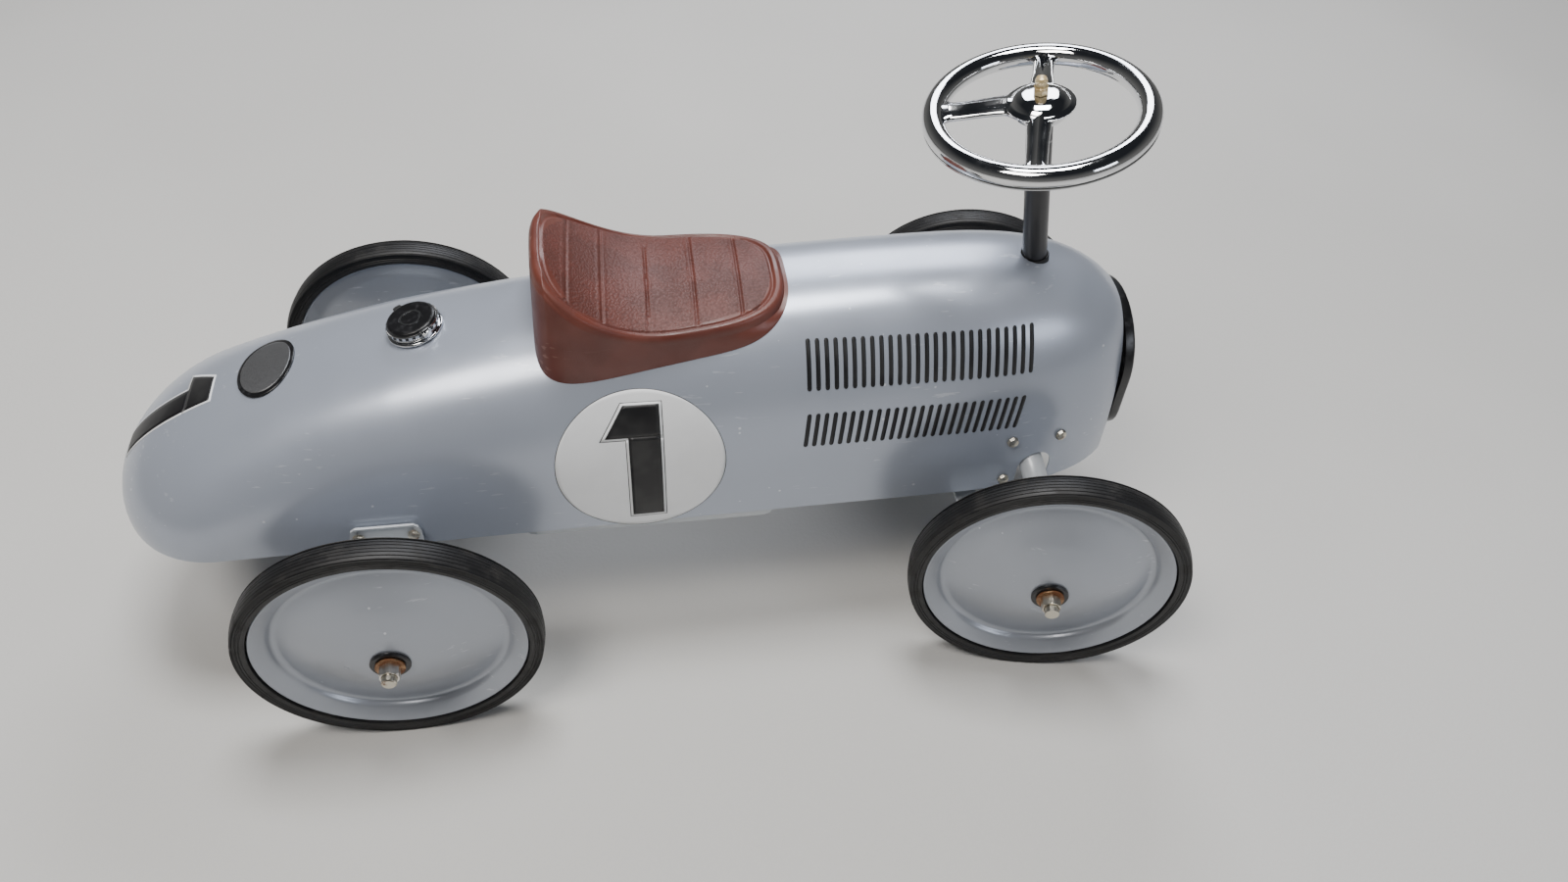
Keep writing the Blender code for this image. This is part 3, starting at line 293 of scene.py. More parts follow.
def carve(made, cutters):
    """Cut the closed bmeshes out of a piece for good."""
    for index, bm in enumerate(cutters):
        mesh = bpy.data.meshes.new(f"cutter_{index}")
        bmesh.ops.recalc_face_normals(bm, faces=bm.faces)
        bm.to_mesh(mesh)
        bm.free()
        tool = bpy.data.objects.new(f"cutter_{index}", mesh)
        bpy.context.collection.objects.link(tool)
        step = made.modifiers.new(f"cut_{index}", "BOOLEAN")
        step.object = tool
        step.operation = "DIFFERENCE"
        step.solver = "EXACT"
    bpy.context.view_layer.update()
    graph = bpy.context.evaluated_depsgraph_get()
    solid = bpy.data.meshes.new_from_object(made.evaluated_get(graph))
    tools = [m.object for m in made.modifiers if m.type == "BOOLEAN"]
    made.modifiers.clear()
    made.data = solid
    solid.shade_smooth()
    solid.set_sharp_from_angle(angle=radians(30))
    for tool in tools:
        bpy.data.objects.remove(tool, do_unlink=True)


def bar(radius, start, end, steps=48):
    """Straight round bar between two points."""
    start, end = Vector(start), Vector(end)
    length = (end - start).length
    turn = (end - start).to_track_quat("Z", "Y").to_matrix().to_4x4()
    side = [(0, 0), (radius, 0), (radius, length), (0, length)]
    return turned(side, steps, Matrix.Translation(start) @ turn)


# ---------------------------------------------------------------- materials
def colour(code):
    """sRGB hex to linear RGBA."""
    parts = [int(code[i:i + 2], 16) / 255 for i in (1, 3, 5)]
    return (*[c / 12.92 if c <= 0.04045 else ((c + 0.055) / 1.055) ** 2.4 for c in parts], 1)


def per_mm(size):
    """Texture scale that repeats about every size millimetres."""
    return 1 / (size * MM)


def add_node(tree, kind, inputs=(), **settings):
    """Add a node; inputs maps a socket to a value or to another node's output."""
    made = tree.nodes.new(kind)
    for name, value in settings.items():
        setattr(made, name, value)
    for socket, value in dict(inputs).items():
        if isinstance(value, bpy.types.NodeSocket):
            tree.links.new(value, made.inputs[socket])
        else:
            made.inputs[socket].default_value = value
    return made


def new_material(name, **sockets):
    made = bpy.data.materials.new(name)
    made.use_nodes = True
    shader = made.node_tree.nodes["Principled BSDF"]
    for socket, value in sockets.items():
        shader.inputs[socket.replace("_", " ")].default_value = value
    return made, made.node_tree, shader


def feed(shader, socket, value):
    """Link a node's output to the shader's socket."""
    shader.id_data.links.new(value, shader.inputs[socket])


def spots(tree, where, size, share, blur=0.3):
    """Mask of scattered small marks: share of the cells of that size hold one."""
    cells = add_node(tree, "ShaderNodeTexVoronoi", {"Vector": where, "Scale": per_mm(size)})
    chosen = add_node(tree, "ShaderNodeSeparateColor", {"Color": cells.outputs["Color"]})
    pick = add_node(tree, "ShaderNodeMath", {0: chosen.outputs["Red"], 1: share}, operation="LESS_THAN")
    reach = add_node(tree, "ShaderNodeMath", {0: chosen.outputs["Green"], 1: 0.17}, operation="MULTIPLY")
    near = add_node(tree, "ShaderNodeMath", {0: reach.outputs[0], 1: cells.outputs["Distance"]},
                    operation="SUBTRACT")
    mark = add_node(tree, "ShaderNodeMapRange", {"Value": near.outputs[0], "From Max": blur * 0.1})
    both = add_node(tree, "ShaderNodeMath", {0: mark.outputs[0], 1: pick.outputs[0]}, operation="MULTIPLY")
    return both.outputs[0]


def noise(tree, where, size, detail=3.0, rough=0.5, low=0.4, high=0.6):
    """Cloud mask from 0 to 1 with blotches of about that size."""
    cloud = add_node(tree, "ShaderNodeTexNoise", {"Vector": where, "Scale": per_mm(size), "Detail": detail,
                                                  "Roughness": rough})
    ramp = add_node(tree, "ShaderNodeMapRange", {"Value": cloud.outputs["Fac"], "From Min": low,
                                                 "From Max": high}, interpolation_type="SMOOTHSTEP")
    return ramp.outputs[0]


def blend_colour(tree, amount, under, over):
    made = add_node(tree, "ShaderNodeMix", {"Factor": amount}, data_type="RGBA")
    for index, value in ((6, under), (7, over)):
        if isinstance(value, bpy.types.NodeSocket):
            tree.links.new(value, made.inputs[index])
        else:
            made.inputs[index].default_value = value
    return made.outputs[2]


def scaled(tree, value, factor):
    return add_node(tree, "ShaderNodeMath", {0: value, 1: factor}, operation="MULTIPLY").outputs[0]


def spread(tree, value, low, high):
    return add_node(tree, "ShaderNodeMapRange", {"Value": value, "To Min": low, "To Max": high}).outputs[0]


def relief(tree, shader, height, depth, under=None):
    """Bump of that depth in millimetres."""
    inputs = {"Height": height, "Strength": 1.0, "Distance": depth * MM}
    if under is not None:
        inputs["Normal"] = under
    made = add_node(tree, "ShaderNodeBump", inputs)
    feed(shader, "Normal", made.outputs["Normal"])
    return made.outputs["Normal"]


def object_space(tree, stretch=(1, 1, 1)):
    where = add_node(tree, "ShaderNodeTexCoord").outputs["Object"]
    return add_node(tree, "ShaderNodeMapping", {"Vector": where, "Scale": stretch}).outputs["Vector"]


def scratches(tree, size, stretch, low):
    """Fine hair scratches: stretched noise of which only the peaks show."""
    fine = noise(tree, object_space(tree, stretch), size, 2.0, 0.6, low, low + 0.035)
    patch = noise(tree, object_space(tree), size * 9, 1.0, 0.5, 0.5, 0.62)
    return add_node(tree, "ShaderNodeMath", {0: fine, 1: patch}, operation="MULTIPLY").outputs[0]


def enamel(name, code, dust, marks, metal=0.25, rough=(0.27, 0.4)):
    """Stoved enamel on pressed steel: smooth and reflective over a faint orange peel,
    with pale nicks, hair scratches and a thin bloom of dust."""
    made, tree, shader = new_material(name, Metallic=metal, Coat_Weight=0.35, Coat_Roughness=0.16, IOR=1.5)
    where = object_space(tree)
    cloud = noise(tree, where, 90, 2.0, 0.4, 0.2, 0.8)
    base = blend_colour(tree, scaled(tree, cloud, 0.5), colour(code), colour(dust))
    nicks = spots(tree, where, 7, marks * 0.35)
    hair = scratches(tree, 5, (0.25, 1.0, 2.2), 0.655)
    faint = scaled(tree, hair, 0.5)
    wear = add_node(tree, "ShaderNodeMath", {0: nicks, 1: faint}, operation="MAXIMUM").outputs[0]
    feed(shader, "Base Color", blend_colour(tree, scaled(tree, wear, 0.75), base, colour("#dfe3e8")))
    film = noise(tree, where, 30, 3.0, 0.5, 0.1, 0.9)
    haze = add_node(tree, "ShaderNodeMath", {0: film, 1: wear}, operation="MAXIMUM").outputs[0]
    feed(shader, "Roughness", spread(tree, haze, *rough))
    peel = add_node(tree, "ShaderNodeTexNoise", {"Vector": where, "Scale": per_mm(2.4), "Detail": 1.0})
    relief(tree, shader, peel.outputs["Fac"], 0.012, relief(tree, shader, wear, 0.03))
    return made


def rubber_material():
    """Moulded solid rubber tyre: matt near-black with grey dust on its ribs."""
    made, tree, shader = new_material("moulded_rubber", Roughness=0.62, IOR=1.52)
    where = object_space(tree)
    dust = noise(tree, where, 14, 5.0, 0.65, 0.48, 0.72)
    grit = noise(tree, where, 1.3, 2.0, 0.6, 0.55, 0.75)
    both = add_node(tree, "ShaderNodeMath", {0: dust, 1: spread(tree, grit, 0.35, 1.0)}, operation="MULTIPLY")
    dusty = scaled(tree, both.outputs[0], 0.42)
    feed(shader, "Base Color", blend_colour(tree, dusty, colour("#0f0f11"), colour("#57544f")))
    feed(shader, "Roughness", spread(tree, dust, 0.5, 0.8))
    relief(tree, shader, grit, 0.05)
    return made


def chrome_material():
    """Bright chrome plate: mirror-like with faint smears and a few pits."""
    made, tree, shader = new_material("chrome_plate", Metallic=1.0)
    where = object_space(tree)
    smear = noise(tree, where, 22, 4.0, 0.6, 0.4, 0.75)
    pits = spots(tree, where, 9, 0.12)
    feed(shader, "Base Color", blend_colour(tree, pits, colour("#e3e4e6"), colour("#7a6a58")))
    feed(shader, "Roughness", spread(tree, smear, 0.045, 0.15))
    relief(tree, shader, pits, 0.02)
    return made


def zinc_material(name="zinc_plate", rust=0.45, code="#c9c3b4"):
    """Zinc-plated steel fastener: pale satin metal going brown where rust has started."""
    made, tree, shader = new_material(name)
    where = object_space(tree)
    spread_rust = noise(tree, where, 7, 5.0, 0.7, 1 - rust, 1.15 - rust)
    feed(shader, "Base Color", blend_colour(tree, spread_rust, colour(code), colour("#6f4526")))
    feed(shader, "Metallic", spread(tree, spread_rust, 1.0, 0.15))
    feed(shader, "Roughness", spread(tree, spread_rust, 0.28, 0.75))
    grain = noise(tree, where, 0.8, 2.0, 0.6, 0.3, 0.7)
    relief(tree, shader, grain, 0.02)
    return made


def black_plastic_material():
    """Moulded black ABS: even satin sheen with fine rubbed streaks."""
    made, tree, shader = new_material("moulded_abs", IOR=1.53)
    where = object_space(tree)
    rub = noise(tree, where, 6, 4.0, 0.65, 0.5, 0.78)
    worn = scaled(tree, rub, 0.3)
    feed(shader, "Base Color", blend_colour(tree, worn, colour("#131315"), colour("#55565a")))
    feed(shader, "Roughness", spread(tree, rub, 0.28, 0.5))
    relief(tree, shader, noise(tree, where, 0.9, 2.0), 0.01)
    return made


def saddle_materials():
    """Moulded vinyl saddle: a pebbled leather-grain panel with painted shade in its creases, and smooth waxy
    sides.
    """
    panel, tree, shader = new_material("grained_vinyl", IOR=1.48, Coat_Weight=0.05, Coat_Roughness=0.35)
    where = object_space(tree)
    cell = {"Vector": where, "Scale": per_mm(1.7), "Smoothness": 0.35}
    pebble = add_node(tree, "ShaderNodeTexVoronoi", cell, feature="SMOOTH_F1")
    crease = spread(tree, pebble.outputs["Distance"], 1.0, 0.0)
    tone = blend_colour(tree, noise(tree, where, 35), colour("#57291f"), colour("#653228"))
    # the pebble creases are darkened towards #301612: painted shade in the grain's hollows
    crease_shade = scaled(tree, pebble.outputs["Distance"], 0.55)
    feed(shader, "Base Color", blend_colour(tree, crease_shade, tone, colour("#301612")))
    feed(shader, "Roughness", spread(tree, pebble.outputs["Distance"], 0.42, 0.66))
    relief(tree, shader, crease, 0.28)
    side, tree, shader = new_material("smooth_vinyl", IOR=1.5, Coat_Weight=0.18, Coat_Roughness=0.3)
    where = object_space(tree)
    tone = blend_colour(tree, noise(tree, where, 45), colour("#592b22"), colour("#66352b"))
    scuff = scratches(tree, 7, (0.3, 1.0, 1.6), 0.64)
    feed(shader, "Base Color", blend_colour(tree, scaled(tree, scuff, 0.35), tone, colour("#a98377")))
    feed(shader, "Roughness", spread(tree, noise(tree, where, 18), 0.36, 0.48))
    relief(tree, shader, noise(tree, where, 1.1, 2.0, 0.5, 0.3, 0.7), 0.03)
    return panel, side


def print_material(name, code, under, worn, size=3.0, rough=0.42):
    """Screen-printed ink or film on enamel, rubbed through in small flakes."""
    made, tree, shader = new_material(name, Roughness=rough, IOR=1.48)
    where = object_space(tree)
    flakes = noise(tree, where, size, 5.0, 0.7, 1 - worn, 1.02 - worn)
    tone = blend_colour(tree, scaled(tree, noise(tree, where, 30), 0.05), colour(code), colour("#8f8f8c"))
    feed(shader, "Base Color", blend_colour(tree, flakes, tone, colour(under)))
    relief(tree, shader, flakes, -0.02)
    return made


def badge_material():
    """Dull stamped aluminium plate, lightly brushed along its length."""
    made, tree, shader = new_material("stamped_aluminium", Metallic=0.85)
    streak = noise(tree, object_space(tree, (6, 1, 6)), 1.2, 3.0, 0.6, 0.3, 0.7)
    feed(shader, "Base Color", blend_colour(tree, streak, colour("#6f7072"), colour("#868789")))
    feed(shader, "Roughness", spread(tree, streak, 0.38, 0.55))
    relief(tree, shader, streak, 0.01)
    return made


def nut_material():
    """Yellowed brass cap nut, its lacquer worn pale."""
    made, tree, shader = new_material("lacquered_brass", Metallic=0.35, Coat_Weight=0.4, Coat_Roughness=0.2)
    worn = noise(tree, object_space(tree), 5, 4.0, 0.6, 0.4, 0.65)
    feed(shader, "Base Color", blend_colour(tree, worn, colour("#d8c49a"), colour("#b59a68")))
    feed(shader, "Roughness", spread(tree, worn, 0.25, 0.45))
    return made


def floor_material():
    """Pale studio paper: matt with the faintest tooth."""
    made, tree, shader = new_material("studio_paper", Roughness=0.85)
    where = object_space(tree)
    tone = noise(tree, where, 900)
    feed(shader, "Base Color", blend_colour(tree, tone, colour("#c9c8c5"), colour("#cfcecb")))
    relief(tree, shader, noise(tree, where, 3), 0.05)
    return made


BODY_ENAMEL = enamel("silver_enamel", "#a9b0bd", "#b1b8c5", 0.3, 0.4, (0.27, 0.34))
DISC_ENAMEL = enamel("disc_enamel", "#a0a5ae", "#a8adb6", 0.2, 0.5, (0.27, 0.35))
PALE_ENAMEL = enamel("pale_enamel", "#c3c8cd", "#b2b4b3", 0.35, 0.15, (0.3, 0.5))
COLUMN_ENAMEL = enamel("black_enamel", "#1c1c1f", "#303033", 0.08, 0.0, (0.36, 0.5))
RUBBER = rubber_material()
CHROME = chrome_material()
ZINC = zinc_material()
RUSTED = zinc_material("rusted_zinc", 0.6, "#9a7a5c")
PALE_NUT = zinc_material("pale_nut", 0.36, "#ddd8d0")
ABS = black_plastic_material()
VINYL_PANEL, VINYL_SIDE = saddle_materials()
INK = print_material("printed_ink", "#0e0e11", "#9aa2ac", 0.26)
WHITE_FILM = print_material("white_film", "#eef0f2", "#b4b8bd", 0.26, 3.0, 0.36)
BLACK_FILM = print_material("black_film", "#101013", "#8d9197", 0.24, 2.0, 0.4)
BADGE = badge_material()
CAP_NUT = nut_material()


# ---------------------------------------------------------------- shell
def body_x(u):
    """Spacing along the shell: close together where the tail and the nose round in."""
    return TAIL_X + BODY_LONG * (0.62 * u ** 2.2 + 0.38 * (1 - (1 - u) ** 1.7)) if u > 0 else TAIL_X


def make_shell():
    skin = mapped(150, 96, lambda u, v: section(body_x(u), pi * v))
    face = [e for e in skin.edges if e.is_boundary and all(v.co.x > NOSE_X - 0.1 * MM for v in e.verts)]
    front = bmesh.ops.extrude_edge_only(skin, edges=face)["geom"]
    centre = Vector((NOSE_X, 0, BODY_BOTTOM + 61 * MM))
    for v in [g for g in front if isinstance(g, bmesh.types.BMVert)]:
        v.co = centre + (v.co - centre) * 0.72
    facing_out(skin)
    moved(skin, TO_FRAME)
    shell = piece("shell", skin, BODY_ENAMEL, "chassis", ["body_shell"], wall=-SHEET, smooth=40)
    notch, deep = 13 * MM, 40 * MM
    outline = [(notch * cos(radians(a)), notch * sin(radians(a))) for a in range(0, 181, 9)]
    outline += [(-notch, -deep), (notch, -deep)]
    stand = Matrix.Translation((COLUMN_X + 2 * MM, 0, BODY_BOTTOM + TUBE_UP - 4 * MM))
    stand = TO_FRAME @ stand @ Matrix.Rotation(pi / 2, 4, "X")
    across = prism(outline, -120 * MM, 120 * MM, 0, stand)
    hood_hole = bar(9.6 * MM, TO_FRAME @ column_point(0.2), TO_FRAME @ column_point(0.35))
    neck, out = top_point(FILLER_X, 0), top_normal(FILLER_X, 0) * 9 * MM
    neck_hole = bar(11.2 * MM, TO_FRAME @ (neck - out), TO_FRAME @ (neck + out))
    carve(shell, [across, hood_hole, neck_hole])


# ---------------------------------------------------------------- printed marks
def louvre(x, low, high, side, lean=0.0, wide=1.5 * MM):
    """One printed slot with round ends, following the flank between two heights."""
    foot, head = height_to_climb(x, low), height_to_climb(x, high)
    half, centre = (head - foot) / 2, (head + foot) / 2

    def place(u, v):
        along = sin((v - 0.5) * pi) * half
        past = max(abs(along) - (half - wide), 0)
        across = (u - 0.5) * 2 * wide * sqrt(max(1 - (past / wide) ** 2, 0.0))
        return climb(x + across + lean * along / half, centre + along, side, 0.1 * MM)

    return mapped(2, 14, place)


def make_louvres(side, label):
    slots = []
    for k in range(26):
        slots.append(louvre((287 + k * 6.15) * MM, 100.8 * MM, 130.5 * MM, side))
        slots.append(louvre((286 + k * 6.0) * MM, 59 * MM, 85 * MM, side, (1.2 + 0.04 * k) * MM))
    bm = merged(slots)
    moved(bm, TO_FRAME)
    facing_out(bm, side)
    piece(f"louvres_{label}", bm, INK, "chassis", wall=0.12 * MM)


def facing_out(bm, side=0):
    """Turn each open patch so that its front is up and away from the middle on that side."""
    bmesh.ops.recalc_face_normals(bm, faces=bm.faces)
    for part in islands(bm):
        if sum(f.normal.y * side + f.normal.z * 0.5 for f in part) < 0:
            bmesh.ops.reverse_faces(bm, faces=part)


def islands(bm):
    """Groups of joined faces."""
    left, groups = set(bm.faces), []
    while left:
        stack, group = [left.pop()], []
        while stack:
            face = stack.pop()
            group.append(face)
            for edge in face.edges:
                for other in edge.link_faces:
                    if other in left:
                        left.remove(other)
                        stack.append(other)
        groups.append(group)
    return groups


ROUNDEL_X, ROUNDEL_UP, ROUNDEL_R = 173 * MM, 55 * MM, 57.5 * MM


def numeral(grow):
    """Two bands of a block figure one: its bar, and its head with the slanting flag."""
    left, right, foot, head, chin = -7.5 * MM, 14 * MM, -46 * MM, 46.5 * MM, 23 * MM

    def bar_part(u, v):
        return left - grow + u * (right - left + 2 * grow), foot - grow + v * (chin - foot)

    def head_part(u, v):
        up = chin - grow + v * (head - chin + 2 * grow)
        edge = -23 * MM - 1.9 * grow + (up - chin + grow) * 0.56
        return edge + u * (right + grow - edge), up

    return (bar_part, (6, 24)), (head_part, (10, 8))


def side_mark(shape, grid, side, lift):
    """Patch of a flat design laid on the flank round the roundel's centre."""
    facing = 1 if side < 0 else -1

    def place(u, v):
        across, up = shape(u, v)
        return climb(ROUNDEL_X + across * facing, ROUNDEL_UP + up, side, lift)

    bm = mapped(*grid, place)
    moved(bm, TO_FRAME)
    facing_out(bm, side)
    return bm


def round_patch(radius):
    """Unit square squeezed into a disc of that radius."""
    def shape(u, v):
        a, b = u * 2 - 1, v * 2 - 1
        return radius * a * sqrt(1 - b * b / 2), radius * b * sqrt(1 - a * a / 2)
    return shape


def make_roundel(side, label):
    for name, radius, lift, finish in (("border", ROUNDEL_R, 0.05, BLACK_FILM),
                                       ("field", ROUNDEL_R - 0.5 * MM, 0.12, WHITE_FILM)):
        disc = side_mark(round_patch(radius), (40, 40), side, lift * MM)
        piece(f"roundel_{name}_{label}", disc, finish, "chassis", wall=FILM)
    for name, grow, lift, finish in (("outline", 2.0, 0.2, BLACK_FILM), ("gap", 1.5, 0.26, WHITE_FILM),
                                     ("figure", 0.0, 0.32, BLACK_FILM)):
        parts = [side_mark(shape, grid, side, lift * MM) for shape, grid in numeral(grow * MM)]
        piece(f"roundel_{name}_{label}", merged(parts), finish, "chassis", wall=FILM)


def make_tail_figure():
    """The same figure on the tail, read from behind, its foot on the last of the slope."""
    reach = [0.0]
    stations = [TAIL_X + 9 * MM + k * MM for k in range(90)]
    for a, b in zip(stations, stations[1:]):
        reach.append(reach[-1] + (top_point(b, 0) - top_point(a, 0)).length)

    def station(distance):
        for k, (before, after) in enumerate(zip(reach, reach[1:])):
            if distance <= after:
                return stations[k] + (stations[k + 1] - stations[k]) * (distance - before) / (after - before)
        return stations[-1]

    for name, grow, lift, finish in (("outline", 1.8, 0.15, WHITE_FILM), ("figure", 0.0, 0.22, BLACK_FILM)):
        parts = []
        for shape, grid in numeral(grow * MM):
            def place(u, v, shape=shape, lift=lift):
                across, up = shape(u, v)
                x = station(max(up + 48 * MM, 0) * 0.88 + 1 * MM)
                y = -(across - 3 * MM) * 0.95
                return top_point(x, y) + top_normal(x, y) * lift * MM
            parts.append(mapped(*grid, place))
        bm = merged(parts)
        moved(bm, TO_FRAME)
        facing_out(bm)
        piece(f"tail_{name}", bm, finish, "chassis", wall=FILM)


def make_badge():
    """Oval plate on the tail: a black raised rim round a plain dull field."""
    def place(radius, lift):
        def put(u, v):
            a, b = round_patch(radius)(u, v)
            x, y = -70 * MM + a * 19.5 * MM, 2 * MM + b * 27 * MM
            return top_point(x, y) + top_normal(x, y) * lift
        return put

    for name, radius, lift, wall, finish in (("rim", 1.0, 0.3, 0.9, ABS), ("field", 0.88, 1.25, 0.25, BADGE)):
        bm = mapped(32, 32, place(radius, lift * MM))
        moved(bm, TO_FRAME)
        facing_out(bm)
        piece(f"badge_{name}", bm, finish, "chassis", ["tail_badge"] if name == "rim" else (),
              wall=wall * MM)


# ---------------------------------------------------------------- saddle
def seat_edge(t):
    slope = min(max((t - 0.05) / 0.5, 0), 1)
    return 42 * MM * (1 - slope) ** 2 + 2 * MM - 6 * MM * t * t


def smooth_step(x, low, high):
    t = min(max((x - low) / (high - low), 0), 1)
    return t * t * (3 - 2 * t)


def seat_outline(angle, square=0.0):
    """Plan outline: squarer behind than in front, and squarer at the foot than at the top."""
    c, s = cos(angle), sin(angle)
    n = 3.4 - 0.1 * c + square * (1.7 - 1.4 * c)
    x = abs(c) ** (2 / n) * (1 if c > 0 else -1)
    t = (x + 1) / 2
    y = abs(s) ** (2 / n) * (1 if s > 0 else -1)
    return SEAT_REAR + SEAT_LONG * t, y * (60 - 11 * t) * MM


GROOVES = (135, 156.5, 185.5, 216.5, 246.5)      # millimetres in front of the rear axle
PANEL_END, ROUND_END = 0.72, 0.84                # v where the border ends and where the side starts
BORDER = 0.95                                    # share of the outline that the border reaches


def seat_top(x, y):
    t = min(max((x - SEAT_REAR) / SEAT_LONG, 0), 1)
    half = (58 - 9 * t) * MM
    bow = 7 * MM * (1 - min(abs(y) / half, 1) ** 2)
    return BODY_BOTTOM + crown(x) + seat_edge(t) + bow


def seat_point(u, v):
    """u runs round the saddle; v from the middle of the panel, over the border, down the side."""
    x_out, y_out = seat_outline(2 * pi * u, smooth_step(v, 0.8, 1.0))
    over = min(max((v - PANEL_END) / (ROUND_END - PANEL_END), 0), 1)
    down = max((v - ROUND_END) / (1 - ROUND_END), 0)
    if v < PANEL_END:
        r = (v / PANEL_END) ** 0.8 * BORDER
    else:
        r = BORDER + (1 - BORDER) * sin(over * pi / 2) + 0.025 * down
    x, y = SEAT_MIDDLE + (x_out - SEAT_MIDDLE) * r, y_out * r
    z = seat_top(x, y)
    panel = 1 - smooth_step(r, 0.88, 0.9)
    border = smooth_step(r, 0.905, 0.93)
    z += (panel * 0.9 + border * 1.3 - 0.6) * MM
    if r < 0.885:
        for groove in GROOVES:
            gap = abs(x / MM - groove - 0.03 * y / MM)
            z -= 0.7 * MM * max(1 - gap ** 2, 0) - 0.2 * MM * max(1 - ((gap - 2.1) / 1.2) ** 2, 0)
    z -= 6 * MM * (1 - cos(over * pi / 2))
    foot = top_point(x, y).z + SEAT_GAP
    z += (foot - z) * down
    return Vector((x, y, max(z, foot)))


def make_saddle():
    bm = mapped(560, 165, seat_point)
    moved(bm, TO_FRAME)
    facing_out(bm)
    centre = Vector((AXLE_X + SEAT_MIDDLE, 0, 0))
    for f in bm.faces:
        here = f.calc_center_median() - centre
        angle = atan2(here.y / (53 * MM), here.x / (SEAT_LONG / 2))
        x_out, y_out = seat_outline(angle)
        lengthwise = abs(cos(angle)) > 0.7
        share = abs(here.x / (x_out - SEAT_MIDDLE)) if lengthwise else abs(here.y / y_out)
        f.material_index = 0 if share < 0.895 else 1
    saddle = piece("saddle_cover", bm, [VINYL_PANEL, VINYL_SIDE], "chassis", ["saddle"],
                   smooth=60)


# ---------------------------------------------------------------- wheels
def tyre_profile(out):
    """Solid tyre: flat side walls with fine moulded ribs and a ribbed tread."""
    r, w = WHEEL_R, TYRE_W
    rim = r - TYRE_DEEP
    profile = [(rim, out - w), (rim + 1.2 * MM, out - w)]
    for k in range(4):
        at = rim + (3 + k * 1.7) * MM
        profile += [(at, out - w), (at + 0.3 * MM, out - w + 0.45 * MM), (at + 0.8 * MM, out - w + 0.45 * MM),
                    (at + 1.1 * MM, out - w)]
    steps = 88
    for k in range(steps + 1):
        across = 2 * k / steps - 1
        dome = 4.2 * MM * (max(1 - across * across, 0) ** 0.3 - 1)
        rib = abs(sin(across * pi * 3.5)) if abs(across) < 0.93 else 1
        profile.append((r + dome - 0.9 * MM * max(1 - 3.2 * rib, 0), out - w / 2 + across * w / 2))
    for k in range(3, -1, -1):
        at = rim + (3 + k * 1.7) * MM
        profile += [(at + 1.1 * MM, out), (at + 0.8 * MM, out - 0.45 * MM), (at + 0.3 * MM, out - 0.45 * MM),
                    (at, out)]
    profile += [(rim + 1.2 * MM, out), (rim, out - 0.3 * MM)]
    return profile


def make_wheel(end, label, body, place, out, hub_inner):
    """Tyre, two pressed discs and a bush on an axle that is the local Z."""
    name = f"{end}_{label}"
    piece(f"{name}_tyre_skin", turned(tyre_profile(out), AROUND, place), RUBBER, body, [f"{name}_tyre"],
          smooth=50)
    rim, mid, rear = WHEEL_R - TYRE_DEEP - 0.3 * MM, out - TYRE_W / 2, out - TYRE_W
    hole, bend = 11.8 * MM, 4 * MM
    dish = in_mm([(-1.3, 0.3), (-0.2, 0.3)], rim, mid)
    dish += in_mm([(-0.2, -2.6), (-1.2, -1.6), (-11, -7.8), (-13, -11.4), (-16.5, -11.8), (-45, -0.4)],
                  rim, out)
    dish += in_mm([(13, 6.2), (0, 8)], hole, out)
    back = in_mm([(0, 8)], hole, out - SHEET)
    back += in_mm([(-46, -0.9), (-14.5, -12.2), (-12, -9.6)], rim, out - SHEET)
    back += in_mm([(-1.3, -3.2)], rim, out)
    piece(f"{name}_outer_dish", turned(softened(dish, bend) + back, AROUND, place), DISC_ENAMEL, body,
          [f"{name}_outer_disc"], smooth=40)
    inner = in_mm([(-1.3, -0.3), (-0.2, -0.3)], rim, mid)
    inner += in_mm([(-0.2, 2.2), (-1.2, 1.5), (-11, 2.4), (-14, 2.4)], rim, rear)
    inner += in_mm([(6, -4.6), (0, -5)], hole, rear)
    front = in_mm([(0, -5)], hole, rear + SHEET) + in_mm([(-14, 2.4), (-11, 2.4)], rim, rear + SHEET)
    front += in_mm([(-1.3, 2.7)], rim, rear)
    piece(f"{name}_inner_dish", turned(softened(inner, bend) + front, AROUND, place), DISC_ENAMEL, body,
          [f"{name}_inner_disc"], smooth=40)
    bush = in_mm([(5.5, 0), (11.2, 0)], 0, hub_inner)
    bush += in_mm([(11.2, 0), (13.2, 0), (13.2, 1.2), (12.4, 2), (5.5, 2)], 0, out + 8.3 * MM)
    piece(f"{name}_hub_bush", turned(bush, 64, place), ABS, body, [f"{name}_bush"])


def make_nut(node, body, place, out, finish):
    """Rusted washer under a pale chamfered hexagon nut on the end of an axle."""
    low = out + 10.6 * MM
    seat = low + 1.5 * MM
    ring = in_mm([(5.35, 0), (9.8, 0), (9.8, 1.5), (5.35, 1.5)], 0, low)
    washer = turned(softened(ring, 0.4 * MM), 48, place)
    hexagon = turned(in_mm([(5.35, 0), (7.2, 0), (7.2, 6.7), (6.4, 7.5), (5.35, 7.5)], 0, seat), 72)
    hexagonal(hexagon, 6.3 * MM, 6.6 * MM)
    moved(hexagon, place)
    piece(f"{node}_hex", hexagon, finish, body, [node], smooth=25)
    piece(f"{node}_washer", washer, RUSTED, body, smooth=25)


def hexagonal(bm, flat, above):
    """Pull the points further out than above onto a hexagon with that distance to its flats."""
    for v in bm.verts:
        ring = sqrt(v.co.x ** 2 + v.co.y ** 2)
        if ring > above:
            angle = atan2(v.co.y, v.co.x)
            reach = min(flat / cos((angle + pi / 6) % (pi / 3) - pi / 6), ring)
            v.co.x, v.co.y = reach * cos(angle), reach * sin(angle)


